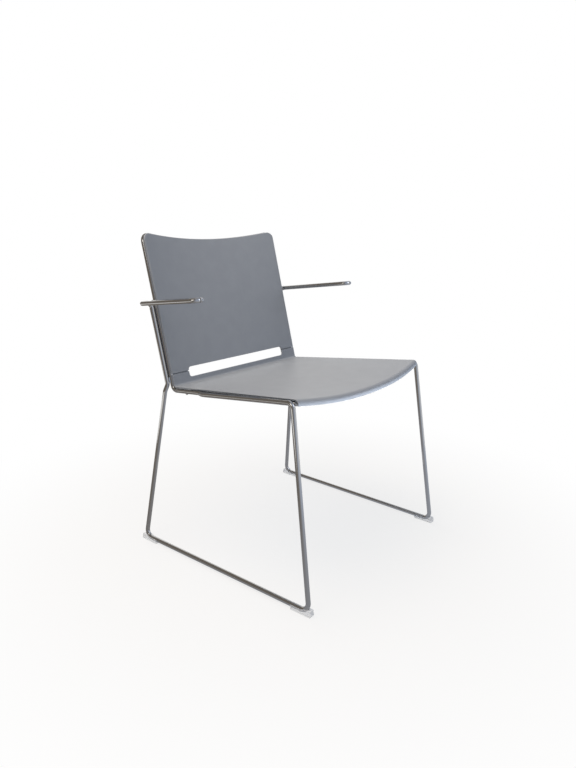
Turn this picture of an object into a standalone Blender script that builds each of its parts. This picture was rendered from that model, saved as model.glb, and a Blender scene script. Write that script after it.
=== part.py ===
"""Stacking conference chair with arms: two moulded shells on a bright rod frame.

The chair faces -Y and stands on the plane Z = 0; X runs across it. Two rods lie side by
side along the seat and the back: an inner one that goes once round both shells and
carries them, and an outer one on each side that is the legs, the floor rail and the arm.
Lengths are in metres. Stations along Y are counted rearwards from the front corner of
the floor rails, and one empty carries every part so that the chair stands centred.
"""

import math

import bmesh
import bpy
from mathutils import Matrix, Vector

# Clearances
TOUCH = 0.0003              # between pieces that lie against each other
REST_GAP = 0.0005           # between a shell and the rod that it rests on
WELD_GAP = 0.0006           # between two rods that are welded side by side
SCREW_PLAY = 0.0004         # round a screw in its hole

# Rod
ROD_D = 0.011
ROD_R = ROD_D / 2
ROD_PITCH = ROD_D + WELD_GAP

# Floor rails, centre lines at their sharp corners
RAIL_LENGTH = 0.531
FRONT_FOOT_HALF = 0.277
REAR_FOOT_HALF = 0.288
FLOOR_BEND_R = 0.018

# Glides under the floor rails
GLIDE_SOLE = 0.003
GLIDE_TAIL = 0.024          # its length on the straight rail, from the bend on
GLIDE_SIDE = 0.0018
GLIDE_GRIP = 0.0018         # how far its sides reach up past the rod's centre
GLIDE_RISE = 0.006          # top of its nose above the rod's centre
GLIDE_CORNER_R = 0.003
GLIDE_CHAMFER = 0.0008

# Front legs
LEG_TOP_HALF = 0.2587
LEG_TOP_STATION = 0.0635
LEG_TOP_Z = 0.4526
LEG_BEND_R = 0.013

# Seat rails of the inner rod
SEAT_REAR_HALF = 0.2325
SEAT_REAR_STATION = 0.4633
SEAT_REAR_Z = 0.4045
SEAT_FRONT_STATION = 0.0545  # front face of the shell at its corners
SEAT_FRONT_Z = 0.4484
FRONT_BAR_SETBACK = 0.012
FRONT_BEND_R = 0.014
REAR_BEND_R = 0.015
BUTT_WELD_AHEAD = 0.048      # weld of the two hoops, ahead of the rear corner
OUTER_RAIL_START = 0.361     # where the outer rod's ground end begins
GROUND_END = 0.024
GROUND_TIP = 0.4             # tip radius as a share of the rod's

# Back
RECLINE = math.radians(14.2)
BACK_LENGTH = 0.386          # rear corner to top corner of the inner rod
TOP_BEND_R = 0.018
TOP_DIP = 0.013
BACK_HOLLOW = 0.030

# Rear legs and uprights of the outer rod
UPRIGHT_BEHIND = 0.005
KINK_Z = 0.4030              # top of the rear leg
KINK_OUT = 0.0055            # the rear leg's top stands off the upright's line
KINK_BACK = 0.0083
KINK_HEIGHT = 0.017          # from the leg's top to the upright's foot
KINK_R = 0.012
ARM_JOINT_ABOVE = 0.073

# Arms
ARM_REAR_Z = 0.6174
ARM_FRONT_STATION = 0.3023
ARM_FRONT_Z = 0.6437
ARM_WIDTH = 0.030
ARM_SPLAY = 0.128
ARM_BEND_R = 0.0125
ARM_END_GAP = 0.0006

# Shells
SHELL_WALL = 0.0045
EDGE_OVER = 0.0035           # shell edge past the rod's centre
EDGE_ROUND = 0.0014
SEAT_DISH = 0.019
SEAT_BULGE = 0.022
DISH_POWER = 2.2
HOLLOW_POWER = 2.0
CREASE_R = 0.0055
NOSE_R = 0.0100
NOSE_FACE = 0.0045           # straight part of the front face under its round
NOSE_CORNER = 0.0025         # slant at the lower corners
LIP_HEIGHT = 0.0298          # crease to seam
SEAM_GAP = 0.0012
SLOT_LENGTH = 0.362
SLOT_HEIGHT = 0.025
SLOT_BELOW_SEAM = 0.015
SLOT_CORNER_R = 0.007

# Lugs, bosses and screws
LUG_LENGTH = 0.030
LUG_REACH = 0.024
LUG_THICK = 0.003
LUG_CORNER_R = 0.006
LUG_DROP = 0.0005            # lug's upper face below the rod's centre
BOSS_D = 0.012
BOSS_SINK = 0.002
SCREW_D = 0.0050
HEAD_D = 0.0098
HEAD_HEIGHT = 0.0028
SEAT_LUG_BEHIND_FRONT = 0.0515  # from the front bar to the front lugs
SEAT_LUG_AHEAD_REAR = 0.0783    # from the rear corners to the rear lugs
BACK_LUG_ABOVE_SEAM = 0.066
BACK_LUG_BELOW_TOP = 0.071

# Stretcher, and the blocks welded between the two rods at the kink
STRETCHER_D = 0.009
STRETCHER_STATION = 0.420
STRETCHER_DROP = 0.0045
BLOCK_DEPTH = 0.007
BLOCK_LENGTH = 0.013

# Fineness of the facets
ROD_SIDES = 12
ARC_STEP = math.radians(12)
SHELL_COLUMNS = 22
SEAT_ROWS = 12
BACK_ROWS = 9
FILLET_STEPS = 4
BAR_STEPS = 12
ROUND_STEPS = 12

RIGHT, LEFT = -1, 1
SIDE_NAMES = {RIGHT: "right", LEFT: "left"}

FLOOR_ROD_Z = ROD_R + GLIDE_SOLE
FACE_OFFSET = ROD_R + REST_GAP + SHELL_WALL
BAR_STATION = SEAT_FRONT_STATION + FRONT_BAR_SETBACK
SEAT_FRONT_HALF = LEG_TOP_HALF - ROD_PITCH
SEAT_PITCH = math.atan((SEAT_FRONT_Z - SEAT_REAR_Z) / (SEAT_REAR_STATION - BAR_STATION))
BACK_UP = Vector((0, math.sin(RECLINE), math.cos(RECLINE)))
BACK_FACING = Vector((0, -math.cos(RECLINE), math.sin(RECLINE)))


# Rails and surfaces that the pieces share

def share(value, start, end):
    """Say how far value lies from start to end, 0 at start and 1 at end."""
    return (value - start) / (end - start)


def rail_half(station):
    """Half the distance between the inner rod's seat rails."""
    along = share(station, SEAT_REAR_STATION, BAR_STATION)
    return SEAT_REAR_HALF + (SEAT_FRONT_HALF - SEAT_REAR_HALF) * along


def rail_z(station):
    """Height of the inner rod's centre along the seat."""
    along = share(station, SEAT_REAR_STATION, BAR_STATION)
    return SEAT_REAR_Z + (SEAT_FRONT_Z - SEAT_REAR_Z) * along


def crown(x, half, power):
    """Fall from the rods, where it is 0, to the middle, where it is 1."""
    return 1 - min(abs(x) / half, 1) ** power


def back_line(level, forward=0.0):
    """Point in the middle plane: level is counted up the back from its rear corner."""
    corner = Vector((0, SEAT_REAR_STATION, SEAT_REAR_Z))
    return corner + BACK_UP * level + BACK_FACING * forward


def crease_level():
    """Level at which the seat's top meets the back's front face."""
    seat_up = Vector((0, math.sin(SEAT_PITCH), math.cos(SEAT_PITCH)))
    face = BACK_FACING * FACE_OFFSET
    return (FACE_OFFSET - face.dot(seat_up)) / BACK_UP.dot(seat_up)


CREASE = crease_level()
SEAM = CREASE + LIP_HEIGHT
BACK_TOP = BACK_LENGTH + EDGE_OVER
CREASE_STATION = back_line(CREASE, FACE_OFFSET).y


def seat_top(x, station):
    """Height of the seat's upper face."""
    edge = rail_z(station) + FACE_OFFSET / math.cos(SEAT_PITCH)
    depth = SEAT_DISH * max(share(station, CREASE_STATION, SEAT_FRONT_STATION), 0)
    return edge - depth * crown(x, rail_half(station), DISH_POWER)


def front_station(x):
    """Station of the seat's front face."""
    return SEAT_FRONT_STATION - SEAT_BULGE * crown(x, SEAT_FRONT_HALF, DISH_POWER)


def back_face(x, level):
    """Point on the front face of the back."""
    hollow = BACK_HOLLOW * share(level, SEAM, BACK_TOP)
    depth = hollow * crown(x, SEAT_REAR_HALF, HOLLOW_POWER)
    point = back_line(level, FACE_OFFSET - depth)
    point.x = x
    return point


def top_level(x, highest):
    """Level of a top edge that dips towards the middle."""
    return highest - TOP_DIP * crown(x, SEAT_REAR_HALF, HOLLOW_POWER)


# Paths

def rounded(corners, radii):
    """Turn sharp corners into arcs; radii names one radius for each inner corner."""
    path = [corners[0]]
    for before, corner, after, radius in zip(corners, corners[1:], corners[2:], radii):
        entry = (before - corner).normalized()
        leave = (after - corner).normalized()
        turn = math.pi - entry.angle(leave)
        if radius == 0 or turn < 1e-4:
            path.append(corner)
            continue
        middle = (entry + leave).normalized()
        centre = corner + middle * (radius / math.cos(turn / 2))
        first = corner + entry * radius * math.tan(turn / 2) - centre
        axis = first.cross(corner + leave * radius * math.tan(turn / 2) - centre)
        steps = max(2, math.ceil(turn / ARC_STEP))
        for step in range(steps + 1):
            path.append(centre + Matrix.Rotation(turn * step / steps, 3, axis) @ first)
    path.append(corners[-1])
    return path


def mirrored(side, points):
    """Points drawn for the side at +X, placed on either side."""
    return [Vector((side * point.x, point.y, point.z)) for point in points]


def outer_corners():
    """Sharp corners of the outer rod below the arm, from its ground end on."""
    start = Vector((rail_half(OUTER_RAIL_START) + ROD_PITCH, OUTER_RAIL_START,
                    rail_z(OUTER_RAIL_START)))
    leg_top = Vector((LEG_TOP_HALF, LEG_TOP_STATION, LEG_TOP_Z))
    front_foot = Vector((FRONT_FOOT_HALF, 0, FLOOR_ROD_Z))
    rear_foot = Vector((REAR_FOOT_HALF, RAIL_LENGTH, FLOOR_ROD_Z))
    leg_end = upright_point(KINK_Z) + Vector((KINK_OUT, KINK_BACK, 0))
    return [start, leg_top, front_foot, rear_foot, leg_end,
            upright_point(KINK_Z + KINK_HEIGHT), upright_point(KINK_Z + ARM_JOINT_ABOVE)]


def upright_point(z):
    """Centre of the outer rod's upright at a height."""
    level = (z - SEAT_REAR_Z) / BACK_UP.z
    return back_line(level) + Vector((SEAT_REAR_HALF + ROD_PITCH, UPRIGHT_BEHIND, 0))


def leg_frame_path():
    """Outer rod from the ground end on the seat rail to the joint under the arm."""
    radii = (LEG_BEND_R, FLOOR_BEND_R, FLOOR_BEND_R, KINK_R, KINK_R)
    return rounded(outer_corners(), radii)


def arm_path():
    """Outer rod from the joint: up, outwards, forwards, round and back inside."""
    joint = upright_point(KINK_Z + ARM_JOINT_ABOVE) + BACK_UP * TOUCH
    top = upright_point(ARM_REAR_Z)
    outside = top + Vector((ARM_WIDTH, 0, 0))
    run = top.y - ARM_FRONT_STATION
    forward = Vector((ARM_SPLAY * run, -run, ARM_FRONT_Z - ARM_REAR_Z))
    stop = forward.normalized() * (ROD_D + ARM_END_GAP)
    corners = [joint, top, outside, outside + forward, top + forward, top + stop]
    radii = (ARM_BEND_R, ARM_BEND_R, ARM_WIDTH / 2, ARM_WIDTH / 2)
    return rounded(corners, radii)


def weld_point(side):
    """Middle of the butt weld between the two hoops."""
    station = SEAT_REAR_STATION - BUTT_WELD_AHEAD
    return Vector((side * rail_half(station), station, rail_z(station)))


def top_bar_point(x):
    """Centre of the inner rod behind the back's top edge."""
    level = top_level(x, BACK_LENGTH)
    hollow = BACK_HOLLOW * share(level, SEAM, BACK_TOP)
    depth = hollow * crown(x, SEAT_REAR_HALF, HOLLOW_POWER)
    point = back_line(level, -depth / math.cos(hollow_slope(x, hollow)))
    point.x = x
    return point


def hollow_slope(x, hollow):
    """Slope of the back's face across the chair."""
    reach = min(abs(x) / SEAT_REAR_HALF, 1) ** (HOLLOW_POWER - 1)
    return math.atan(HOLLOW_POWER * hollow * reach / SEAT_REAR_HALF)


def back_hoop_path():
    """Inner rod of the back, with a short piece of seat rail at each end."""
    inset = TOP_BEND_R * 1.6
    reach = SEAT_REAR_HALF - inset
    bar = [top_bar_point(reach - 2 * reach * step / BAR_STEPS)
           for step in range(BAR_STEPS + 1)]
    start = [weld_point(LEFT), corner_point(LEFT, 0), corner_point(LEFT, BACK_LENGTH)]
    end = [corner_point(RIGHT, BACK_LENGTH), corner_point(RIGHT, 0), weld_point(RIGHT)]
    radii = [REAR_BEND_R, TOP_BEND_R] + [0] * len(bar) + [TOP_BEND_R, REAR_BEND_R]
    return rounded(start + bar + end, radii)


def corner_point(side, level):
    """Centre of the inner rod's upright."""
    point = back_line(level)
    point.x = side * SEAT_REAR_HALF
    return point


def front_bar_point(x):
    """Centre of the inner rod under the seat's front edge."""
    station = front_station(x) + FRONT_BAR_SETBACK
    step = 0.001
    across = Vector((2 * step, 0, seat_top(x + step, station) - seat_top(x - step, station)))
    along = Vector((0, 2 * step, seat_top(x, station + step) - seat_top(x, station - step)))
    down = along.cross(across).normalized()
    return Vector((x, station, seat_top(x, station))) + down * FACE_OFFSET


def seat_hoop_path():
    """Inner rod of the seat: two rails and the bar under the front edge."""
    reach = SEAT_FRONT_HALF - FRONT_BEND_R * 1.5
    bar = [front_bar_point(reach - 2 * reach * step / BAR_STEPS)
           for step in range(BAR_STEPS + 1)]
    corner = Vector((SEAT_FRONT_HALF, BAR_STATION, SEAT_FRONT_Z))
    apart = Vector((0, -TOUCH, 0))
    start = [weld_point(LEFT) + apart, corner]
    end = mirrored(RIGHT, [corner]) + [weld_point(RIGHT) + apart]
    radii = [FRONT_BEND_R] + [0] * len(bar) + [FRONT_BEND_R]
    return rounded(start + bar + end, radii)


# Scene set-up and small makers

def clear_scene():
    """Remove whatever the open file holds."""
    for item in list(bpy.data.objects):
        bpy.data.objects.remove(item, do_unlink=True)


def new_collection(name):
    """Add a collection to the scene."""
    collection = bpy.data.collections.new(name)
    bpy.context.scene.collection.children.link(collection)
    return collection


def finish(name, colour, roughness, metallic=0.0):
    """Make a Principled material from an sRGB hex colour."""
    material = bpy.data.materials.new(name)
    material.use_nodes = True
    channels = [int(colour[i:i + 2], 16) / 255 for i in (0, 2, 4)]
    linear = [c / 12.92 if c <= 0.04045 else ((c + 0.055) / 1.055) ** 2.4 for c in channels]
    shader = material.node_tree.nodes["Principled BSDF"]
    shader.inputs["Base Color"].default_value = (*linear, 1)
    shader.inputs["Roughness"].default_value = roughness
    shader.inputs["Metallic"].default_value = metallic
    material.diffuse_color = (*linear, 1)
    return material


class Workshop:
    """Where finished parts, cutters and finishes are kept."""

    def __init__(self):
        self.parts = new_collection("conference_chair")
        self.cutters = new_collection("cutters")
        self.base = bpy.data.objects.new("chair_base", None)
        self.parts.objects.link(self.base)
        self.chrome = finish("chromed_steel", "C3C2BE", 0.10, 1.0)
        self.zinc = finish("zinc_plated_steel", "A9ABAD", 0.32, 1.0)
        self.shell = finish("moulded_polypropylene", "868B94", 0.48)
        self.nylon = finish("moulded_nylon", "C3CBD6", 0.35)

    def keep(self, name, data, material):
        """Add an object that is a part of the chair."""
        item = bpy.data.objects.new(name, data)
        data.materials.append(material)
        self.parts.objects.link(item)
        item.parent = self.base
        return item

    def guide(self, name, data):
        """Add a solid that only shapes another one."""
        item = bpy.data.objects.new(name, data)
        self.cutters.objects.link(item)
        item.parent = self.base
        item.hide_render = True
        item.display_type = "WIRE"
        return item


def swept(name, path, diameter, end_radii=()):
    """Sweep a round section along a path; end_radii thin its first points."""
    curve = bpy.data.curves.new(name, "CURVE")
    curve.dimensions = "3D"
    curve.bevel_depth = diameter / 2
    curve.bevel_resolution = (ROD_SIDES - 4) // 2
    curve.use_fill_caps = True
    spline = curve.splines.new("POLY")
    spline.points.add(len(path) - 1)
    for place, point in zip(spline.points, path):
        place.co = (*point, 1)
    for place, radius in zip(spline.points, end_radii):
        place.radius = radius
    spline.use_smooth = True
    return curve


def rod(shop, name, path, diameter=ROD_D, end_radii=()):
    """Add a chromed rod along a path."""
    return shop.keep(name, swept(name, path, diameter, end_radii), shop.chrome)


def plate(name, outlines, thickness, chamfer=0.0):
    """Make a flat piece from closed outlines in its own XY plane; inner ones are holes."""
    curve = bpy.data.curves.new(name, "CURVE")
    curve.dimensions = "2D"
    curve.fill_mode = "BOTH"
    curve.extrude = thickness / 2 - chamfer
    curve.bevel_depth = chamfer
    curve.bevel_resolution = 0
    curve.offset = -chamfer
    for outline in outlines:
        spline = curve.splines.new("POLY")
        spline.points.add(len(outline) - 1)
        for place, (x, y) in zip(spline.points, outline):
            place.co = (x, y, 0, 1)
        spline.use_cyclic_u = True
    return curve


def solid(shop, name, curve):
    """Turn a curve into the closed mesh that a cut needs."""
    loose = bpy.data.objects.new(name + "_outline", curve)
    shop.cutters.objects.link(loose)
    mesh = bpy.data.meshes.new_from_object(
        loose.evaluated_get(bpy.context.evaluated_depsgraph_get()))
    bpy.data.objects.remove(loose)
    work = bmesh.new()
    work.from_mesh(mesh)
    bmesh.ops.remove_doubles(work, verts=work.verts, dist=0.00001)
    bmesh.ops.recalc_face_normals(work, faces=work.faces)
    work.to_mesh(mesh)
    work.free()
    return mesh


def circle(radius, steps, centre=(0.0, 0.0)):
    """Points of a circle."""
    turns = [math.tau * step / steps for step in range(steps)]
    return [(centre[0] + radius * math.cos(a), centre[1] + radius * math.sin(a)) for a in turns]


def round_rectangle(x0, y0, x1, y1, radii, steps=FILLET_STEPS):
    """Outline of a rectangle; radii start at (x0, y0) and go round anticlockwise."""
    corners = ((x0, y0, 180), (x1, y0, 270), (x1, y1, 0), (x0, y1, 90))
    outline = []
    for (x, y, start), radius in zip(corners, radii):
        if radius == 0:
            outline.append((x, y))
            continue
        cx = x + math.copysign(radius, (x0 + x1) / 2 - x)
        cy = y + math.copysign(radius, (y0 + y1) / 2 - y)
        for step in range(steps + 1):
            angle = math.radians(start + 90 * step / steps)
            outline.append((cx + radius * math.cos(angle), cy + radius * math.sin(angle)))
    return outline


def axes_matrix(origin, x_axis, y_axis, z_axis):
    """Placement of a piece from its three axes."""
    turn = Matrix((x_axis, y_axis, z_axis)).transposed().to_4x4()
    return Matrix.Translation(origin) @ turn


def lofted(name, rows, flip):
    """Join rows of points into an open surface."""
    work = bmesh.new()
    grid = [[work.verts.new(point) for point in row] for row in rows]
    for low, high in zip(grid, grid[1:]):
        for i in range(len(low) - 1):
            quad = [low[i], low[i + 1], high[i + 1], high[i]]
            work.faces.new(quad[::-1] if flip else quad)
    mesh = bpy.data.meshes.new(name)
    work.to_mesh(mesh)
    work.free()
    mesh.shade_smooth()
    return mesh


def cylinders(name, radius, segments, spans):
    """Separate round bars, each from one point to another, in one mesh."""
    work = bmesh.new()
    for low, high in spans:
        along = high - low
        turn = along.to_track_quat("Z", "Y").to_matrix().to_4x4()
        place = Matrix.Translation((low + high) / 2) @ turn
        bmesh.ops.create_cone(work, cap_ends=True, segments=segments, radius1=radius,
                              radius2=radius, depth=along.length, matrix=place)
    mesh = bpy.data.meshes.new(name)
    work.to_mesh(mesh)
    work.free()
    return mesh


def thicken(item):
    """Give an open surface its wall, behind the face that shows, and round its rim."""
    wall = item.modifiers.new("wall", "SOLIDIFY")
    wall.thickness = SHELL_WALL
    wall.offset = -1
    wall.use_even_offset = True
    rim = item.modifiers.new("rim", "BEVEL")
    rim.width = min(EDGE_ROUND, SHELL_WALL * 0.4)
    rim.segments = 2
    rim.limit_method = "ANGLE"
    rim.angle_limit = math.radians(50)


def boolean(item, tool, operation):
    """Join another solid to an item or cut it away."""
    change = item.modifiers.new(tool.name, "BOOLEAN")
    change.operation = operation
    change.object = tool
    change.solver = "EXACT"


# Shells

def columns(half):
    """Places across a shell: even between the rods, then one at each edge."""
    inner = [half * (2 * i / SHELL_COLUMNS - 1) for i in range(SHELL_COLUMNS + 1)]
    return [-half - EDGE_OVER] + inner + [half + EDGE_OVER]


def seat_section(edge_x):
    """Points down one column of the seat: seam, lip, crease, seat, nose.

    edge_x is the column's place between the rods' centres, measured at the rear.
    """
    ratio = edge_x / SEAT_REAR_HALF

    def x_at(station):
        if abs(ratio) > 1:
            return math.copysign(rail_half(station) + EDGE_OVER, ratio)
        return ratio * rail_half(station)

    seam = back_line(SEAM, FACE_OFFSET)
    crease = back_line(CREASE, FACE_OFFSET)
    nose_x = x_at(SEAT_FRONT_STATION)
    nose_y = front_station(nose_x)
    run = [crease]
    for row in range(1, SEAT_ROWS):
        station = CREASE_STATION + (nose_y - CREASE_STATION) * row / SEAT_ROWS
        run.append(Vector((x_at(station), station, seat_top(x_at(station), station))))
    nose = Vector((nose_x, nose_y, seat_top(nose_x, nose_y)))
    for point in (seam, crease):
        point.x = x_at(SEAT_REAR_STATION)
    return seam, run, nose


def fillet_points(before, corner, after, radius):
    """The arc that replaces one corner, in a fixed number of steps."""
    entry = (before - corner).normalized()
    leave = (after - corner).normalized()
    turn = math.pi - entry.angle(leave)
    centre = corner + (entry + leave).normalized() * (radius / math.cos(turn / 2))
    first = corner + entry * radius * math.tan(turn / 2) - centre
    axis = first.cross(corner + leave * radius * math.tan(turn / 2) - centre)
    return [centre + Matrix.Rotation(turn * step / FILLET_STEPS, 3, axis) @ first
            for step in range(FILLET_STEPS + 1)]


def seat_column(edge_x):
    """All the points of one column of the seat's upper face."""
    seam, run, nose = seat_section(edge_x)
    down = Vector((0, 0, -1))
    points = [seam]
    points += fillet_points(seam, run[0], run[1], CREASE_R)
    points += run[1:]
    points += fillet_points(run[-1], nose, nose + down, NOSE_R)
    start = points[-1]
    inset = Vector((-NOSE_CORNER * edge_x / SEAT_REAR_HALF, 0, 0))
    points.append(start + down * (NOSE_FACE - NOSE_CORNER))
    points.append(start + down * NOSE_FACE + inset)
    return points


def make_seat_shell(shop):
    """Seat: dished pan, turned-down nose and a lip that meets the back."""
    sections = [seat_column(x) for x in columns(SEAT_REAR_HALF)]
    rows = [list(row) for row in zip(*sections)]
    shell = shop.keep("seat_shell", lofted("seat_shell", rows, True), shop.shell)
    thicken(shell)
    bosses = [boss_span(*place) for place in seat_fixings()]
    boolean(shell, shop.guide("seat_bosses", cylinders("seat_bosses", BOSS_D / 2,
                                                       ROUND_STEPS, bosses)), "UNION")
    holes = [screw_hole(*place) for place in seat_fixings()]
    boolean(shell, shop.guide("seat_boss_holes",
                              cylinders("seat_boss_holes", SCREW_D / 2 + SCREW_PLAY,
                                        ROUND_STEPS, holes)), "DIFFERENCE")
    boolean(shell, slot_cutter(shop, "seat_slot_cutter"), "DIFFERENCE")


def make_back_shell(shop):
    """Back: hollow across, with a dipped top edge and round top corners."""
    half = SEAT_REAR_HALF + EDGE_OVER
    radius = TOP_BEND_R + EDGE_OVER
    bottom = SEAM + SEAM_GAP
    levels = [(bottom + (BACK_TOP - radius - bottom) * row / BACK_ROWS, half)
              for row in range(BACK_ROWS)]
    for step in range(FILLET_STEPS + 2):
        angle = math.pi / 2 * step / (FILLET_STEPS + 1)
        levels.append((BACK_TOP - radius + radius * math.sin(angle),
                       half - radius * (1 - math.cos(angle))))
    rows = []
    for level, width in levels:
        row = []
        for place in columns(SEAT_REAR_HALF):
            x = place * width / half
            along = share(level, bottom, BACK_TOP)
            row.append(back_face(x, bottom + along * (top_level(x, BACK_TOP) - bottom)))
        rows.append(row)
    shell = shop.keep("back_shell", lofted("back_shell", rows, False), shop.shell)
    thicken(shell)
    bosses = [boss_span(*place) for place in back_fixings()]
    boolean(shell, shop.guide("back_bosses", cylinders("back_bosses", BOSS_D / 2,
                                                       ROUND_STEPS, bosses)), "UNION")
    holes = [screw_hole(*place) for place in back_fixings()]
    boolean(shell, shop.guide("back_boss_holes",
                              cylinders("back_boss_holes", SCREW_D / 2 + SCREW_PLAY,
                                        ROUND_STEPS, holes)), "DIFFERENCE")
    boolean(shell, slot_cutter(shop, "back_slot_cutter"), "DIFFERENCE")


def slot_cutter(shop, name):
    """Solid of the long slot, half in each shell."""
    low = SEAM - SLOT_BELOW_SEAM
    outline = round_rectangle(-SLOT_LENGTH / 2, 0, SLOT_LENGTH / 2, SLOT_HEIGHT,
                              [SLOT_CORNER_R] * 4)
    origin = back_line(low, FACE_OFFSET - SHELL_WALL)
    cutter = shop.guide(name, solid(shop, name, plate(name, [outline], SHELL_WALL * 5)))
    cutter.matrix_local = axes_matrix(origin, Vector((1, 0, 0)), BACK_UP, -BACK_FACING)
    return cutter


# Fixings: a place is the lug's middle on the face that meets the boss, the direction
# towards the shell, how far off the shell's front face is, and the way to the rod.

def seat_fixings():
    """Where the seat is screwed to its lugs."""
    up = Vector((0, math.sin(SEAT_PITCH), math.cos(SEAT_PITCH)))
    places = []
    for side in (RIGHT, LEFT):
        for station in (BAR_STATION + SEAT_LUG_BEHIND_FRONT,
                        SEAT_REAR_STATION - SEAT_LUG_AHEAD_REAR):
            rail = Vector((side * rail_half(station), station, rail_z(station)))
            outward = (rail - weld_point(side)).cross(up).normalized()
            outward *= math.copysign(1, outward.x * side)
            face = rail - outward * (ROD_R + TOUCH + LUG_REACH / 2) - up * LUG_DROP
            top = Vector((face.x, face.y, seat_top(face.x, face.y)))
            places.append((face, up, (top - face).dot(up), outward))
    return places


def back_fixings():
    """Where the back is screwed to its lugs."""
    places = []
    for side in (RIGHT, LEFT):
        for level in (SEAM + BACK_LUG_ABOVE_SEAM, BACK_LENGTH - BACK_LUG_BELOW_TOP):
            x = side * (SEAT_REAR_HALF - ROD_R - TOUCH - LUG_REACH / 2)
            face = back_line(level, -LUG_DROP)
            face.x = x
            top = back_face(x, level)
            places.append((face, BACK_FACING, (top - face).dot(BACK_FACING),
                           Vector((side, 0, 0))))
    return places


def boss_span(face, towards, height, outward):
    """Ends of a boss, from its lug to inside the shell's wall."""
    return face + towards * TOUCH, face + towards * (height - SHELL_WALL + BOSS_SINK)


def hole_depth():
    """Depth of every screw's hole: half a wall stays over it at the thinnest place."""
    return min(place[2] for place in seat_fixings() + back_fixings()) - SHELL_WALL / 2


def screw_hole(face, towards, height, outward):
    """Ends of the hole in a boss, which stops short of the face that shows."""
    return face - towards * LUG_THICK, face + towards * hole_depth()


def make_lugs(shop, kind, places):
    """Steel tabs welded to the inner rod, with a hole for the screw."""
    half = LUG_REACH / 2
    labels = [f"{kind}_lug_{SIDE_NAMES[side]}_{end}" for side in (RIGHT, LEFT)
              for end in (("front", "rear") if kind == "seat" else ("lower", "upper"))]
    for label, (face, towards, height, outward) in zip(labels, places):
        radii = [LUG_CORNER_R, 0, 0, LUG_CORNER_R]
        outline = round_rectangle(-half, -LUG_LENGTH / 2, half, LUG_LENGTH / 2, radii)
        hole = circle(SCREW_D / 2 + SCREW_PLAY, ROUND_STEPS)
        lug = shop.keep(label, plate(label, [outline, hole], LUG_THICK), shop.chrome)
        origin = face - towards * LUG_THICK / 2
        lug.matrix_local = axes_matrix(origin, outward, towards.cross(outward), towards)


def screw_mesh():
    """Turned pan-head screw: its head's flat side at 0 and its shank along +Z."""
    head_r = HEAD_D / 2
    tip = LUG_THICK + TOUCH + hole_depth() - SCREW_PLAY
    profile = [(0, tip), (SCREW_D / 2, tip), (SCREW_D / 2, 0), (head_r, 0),
               (head_r, -HEAD_HEIGHT * 0.4), (head_r * 0.72, -HEAD_HEIGHT * 0.85),
               (head_r * 0.4, -HEAD_HEIGHT), (head_r * 0.4, -HEAD_HEIGHT * 0.45),
               (0, -HEAD_HEIGHT * 0.45)]
    mesh = bpy.data.meshes.new("pan_head_screw")
    mesh.from_pydata([(r, 0, z) for r, z in profile],
                     [(i, i + 1) for i in range(len(profile) - 1)], [])
    return mesh


def make_screws(shop, kind, places):
    """One screw through each lug into its boss."""
    mesh = screw_mesh()
    for number, (face, towards, height, outward) in enumerate(places, 1):
        name = f"{kind}_screw_{number}"
        screw = shop.keep(name, mesh, shop.zinc) if number == 1 else None
        if screw is None:
            screw = bpy.data.objects.new(name, mesh)
            shop.parts.objects.link(screw)
            screw.parent = shop.base
        turn = screw.modifiers.new("turned", "SCREW")
        turn.steps = ROUND_STEPS
        turn.render_steps = ROUND_STEPS
        turn.use_merge_vertices = True
        turn.merge_threshold = 0.00001
        turn.use_smooth_shade = True
        origin = face - towards * (LUG_THICK + TOUCH)
        screw.matrix_local = axes_matrix(origin, outward, towards.cross(outward), towards)


# Frame

def make_frame(shop):
    """The rods: two hoops, two leg frames, two arms and the stretcher."""
    rod(shop, "back_hoop", back_hoop_path())
    rod(shop, "seat_hoop", seat_hoop_path())
    for side in (RIGHT, LEFT):
        path = leg_frame_path()
        start, onward = path[0], path[1]
        full = start + (onward - start).normalized() * GROUND_END
        tip = start + Vector((-ROD_R * (1 - GROUND_TIP), 0, 0))
        path = [tip, full] + path[1:]
        rod(shop, f"leg_frame_{SIDE_NAMES[side]}", mirrored(side, path),
            end_radii=(GROUND_TIP, 1))
        rod(shop, f"arm_rod_{SIDE_NAMES[side]}", mirrored(side, arm_path()))
    reach = rail_half(STRETCHER_STATION) - ROD_R - TOUCH
    height = rail_z(STRETCHER_STATION) - STRETCHER_DROP
    ends = [Vector((side * reach, STRETCHER_STATION, height)) for side in (LEFT, RIGHT)]
    rod(shop, "rear_stretcher", ends, STRETCHER_D)


def bend_reach(before, corner, after, radius):
    """Length that a bend takes from each side of its sharp corner."""
    turn = (corner - before).angle(after - corner)
    return radius * math.tan(turn / 2)


def block_outline(pitch):
    """Section of a block that nests between two rods lying side by side along X."""
    bore = ROD_R + TOUCH
    spread = math.asin(BLOCK_DEPTH / 2 / bore)
    turns = [spread * (2 * step / FILLET_STEPS - 1) for step in range(FILLET_STEPS + 1)]
    inner = [(bore * math.cos(a), bore * math.sin(a)) for a in turns]
    return inner + [(pitch - x, -y) for x, y in inner]


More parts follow.
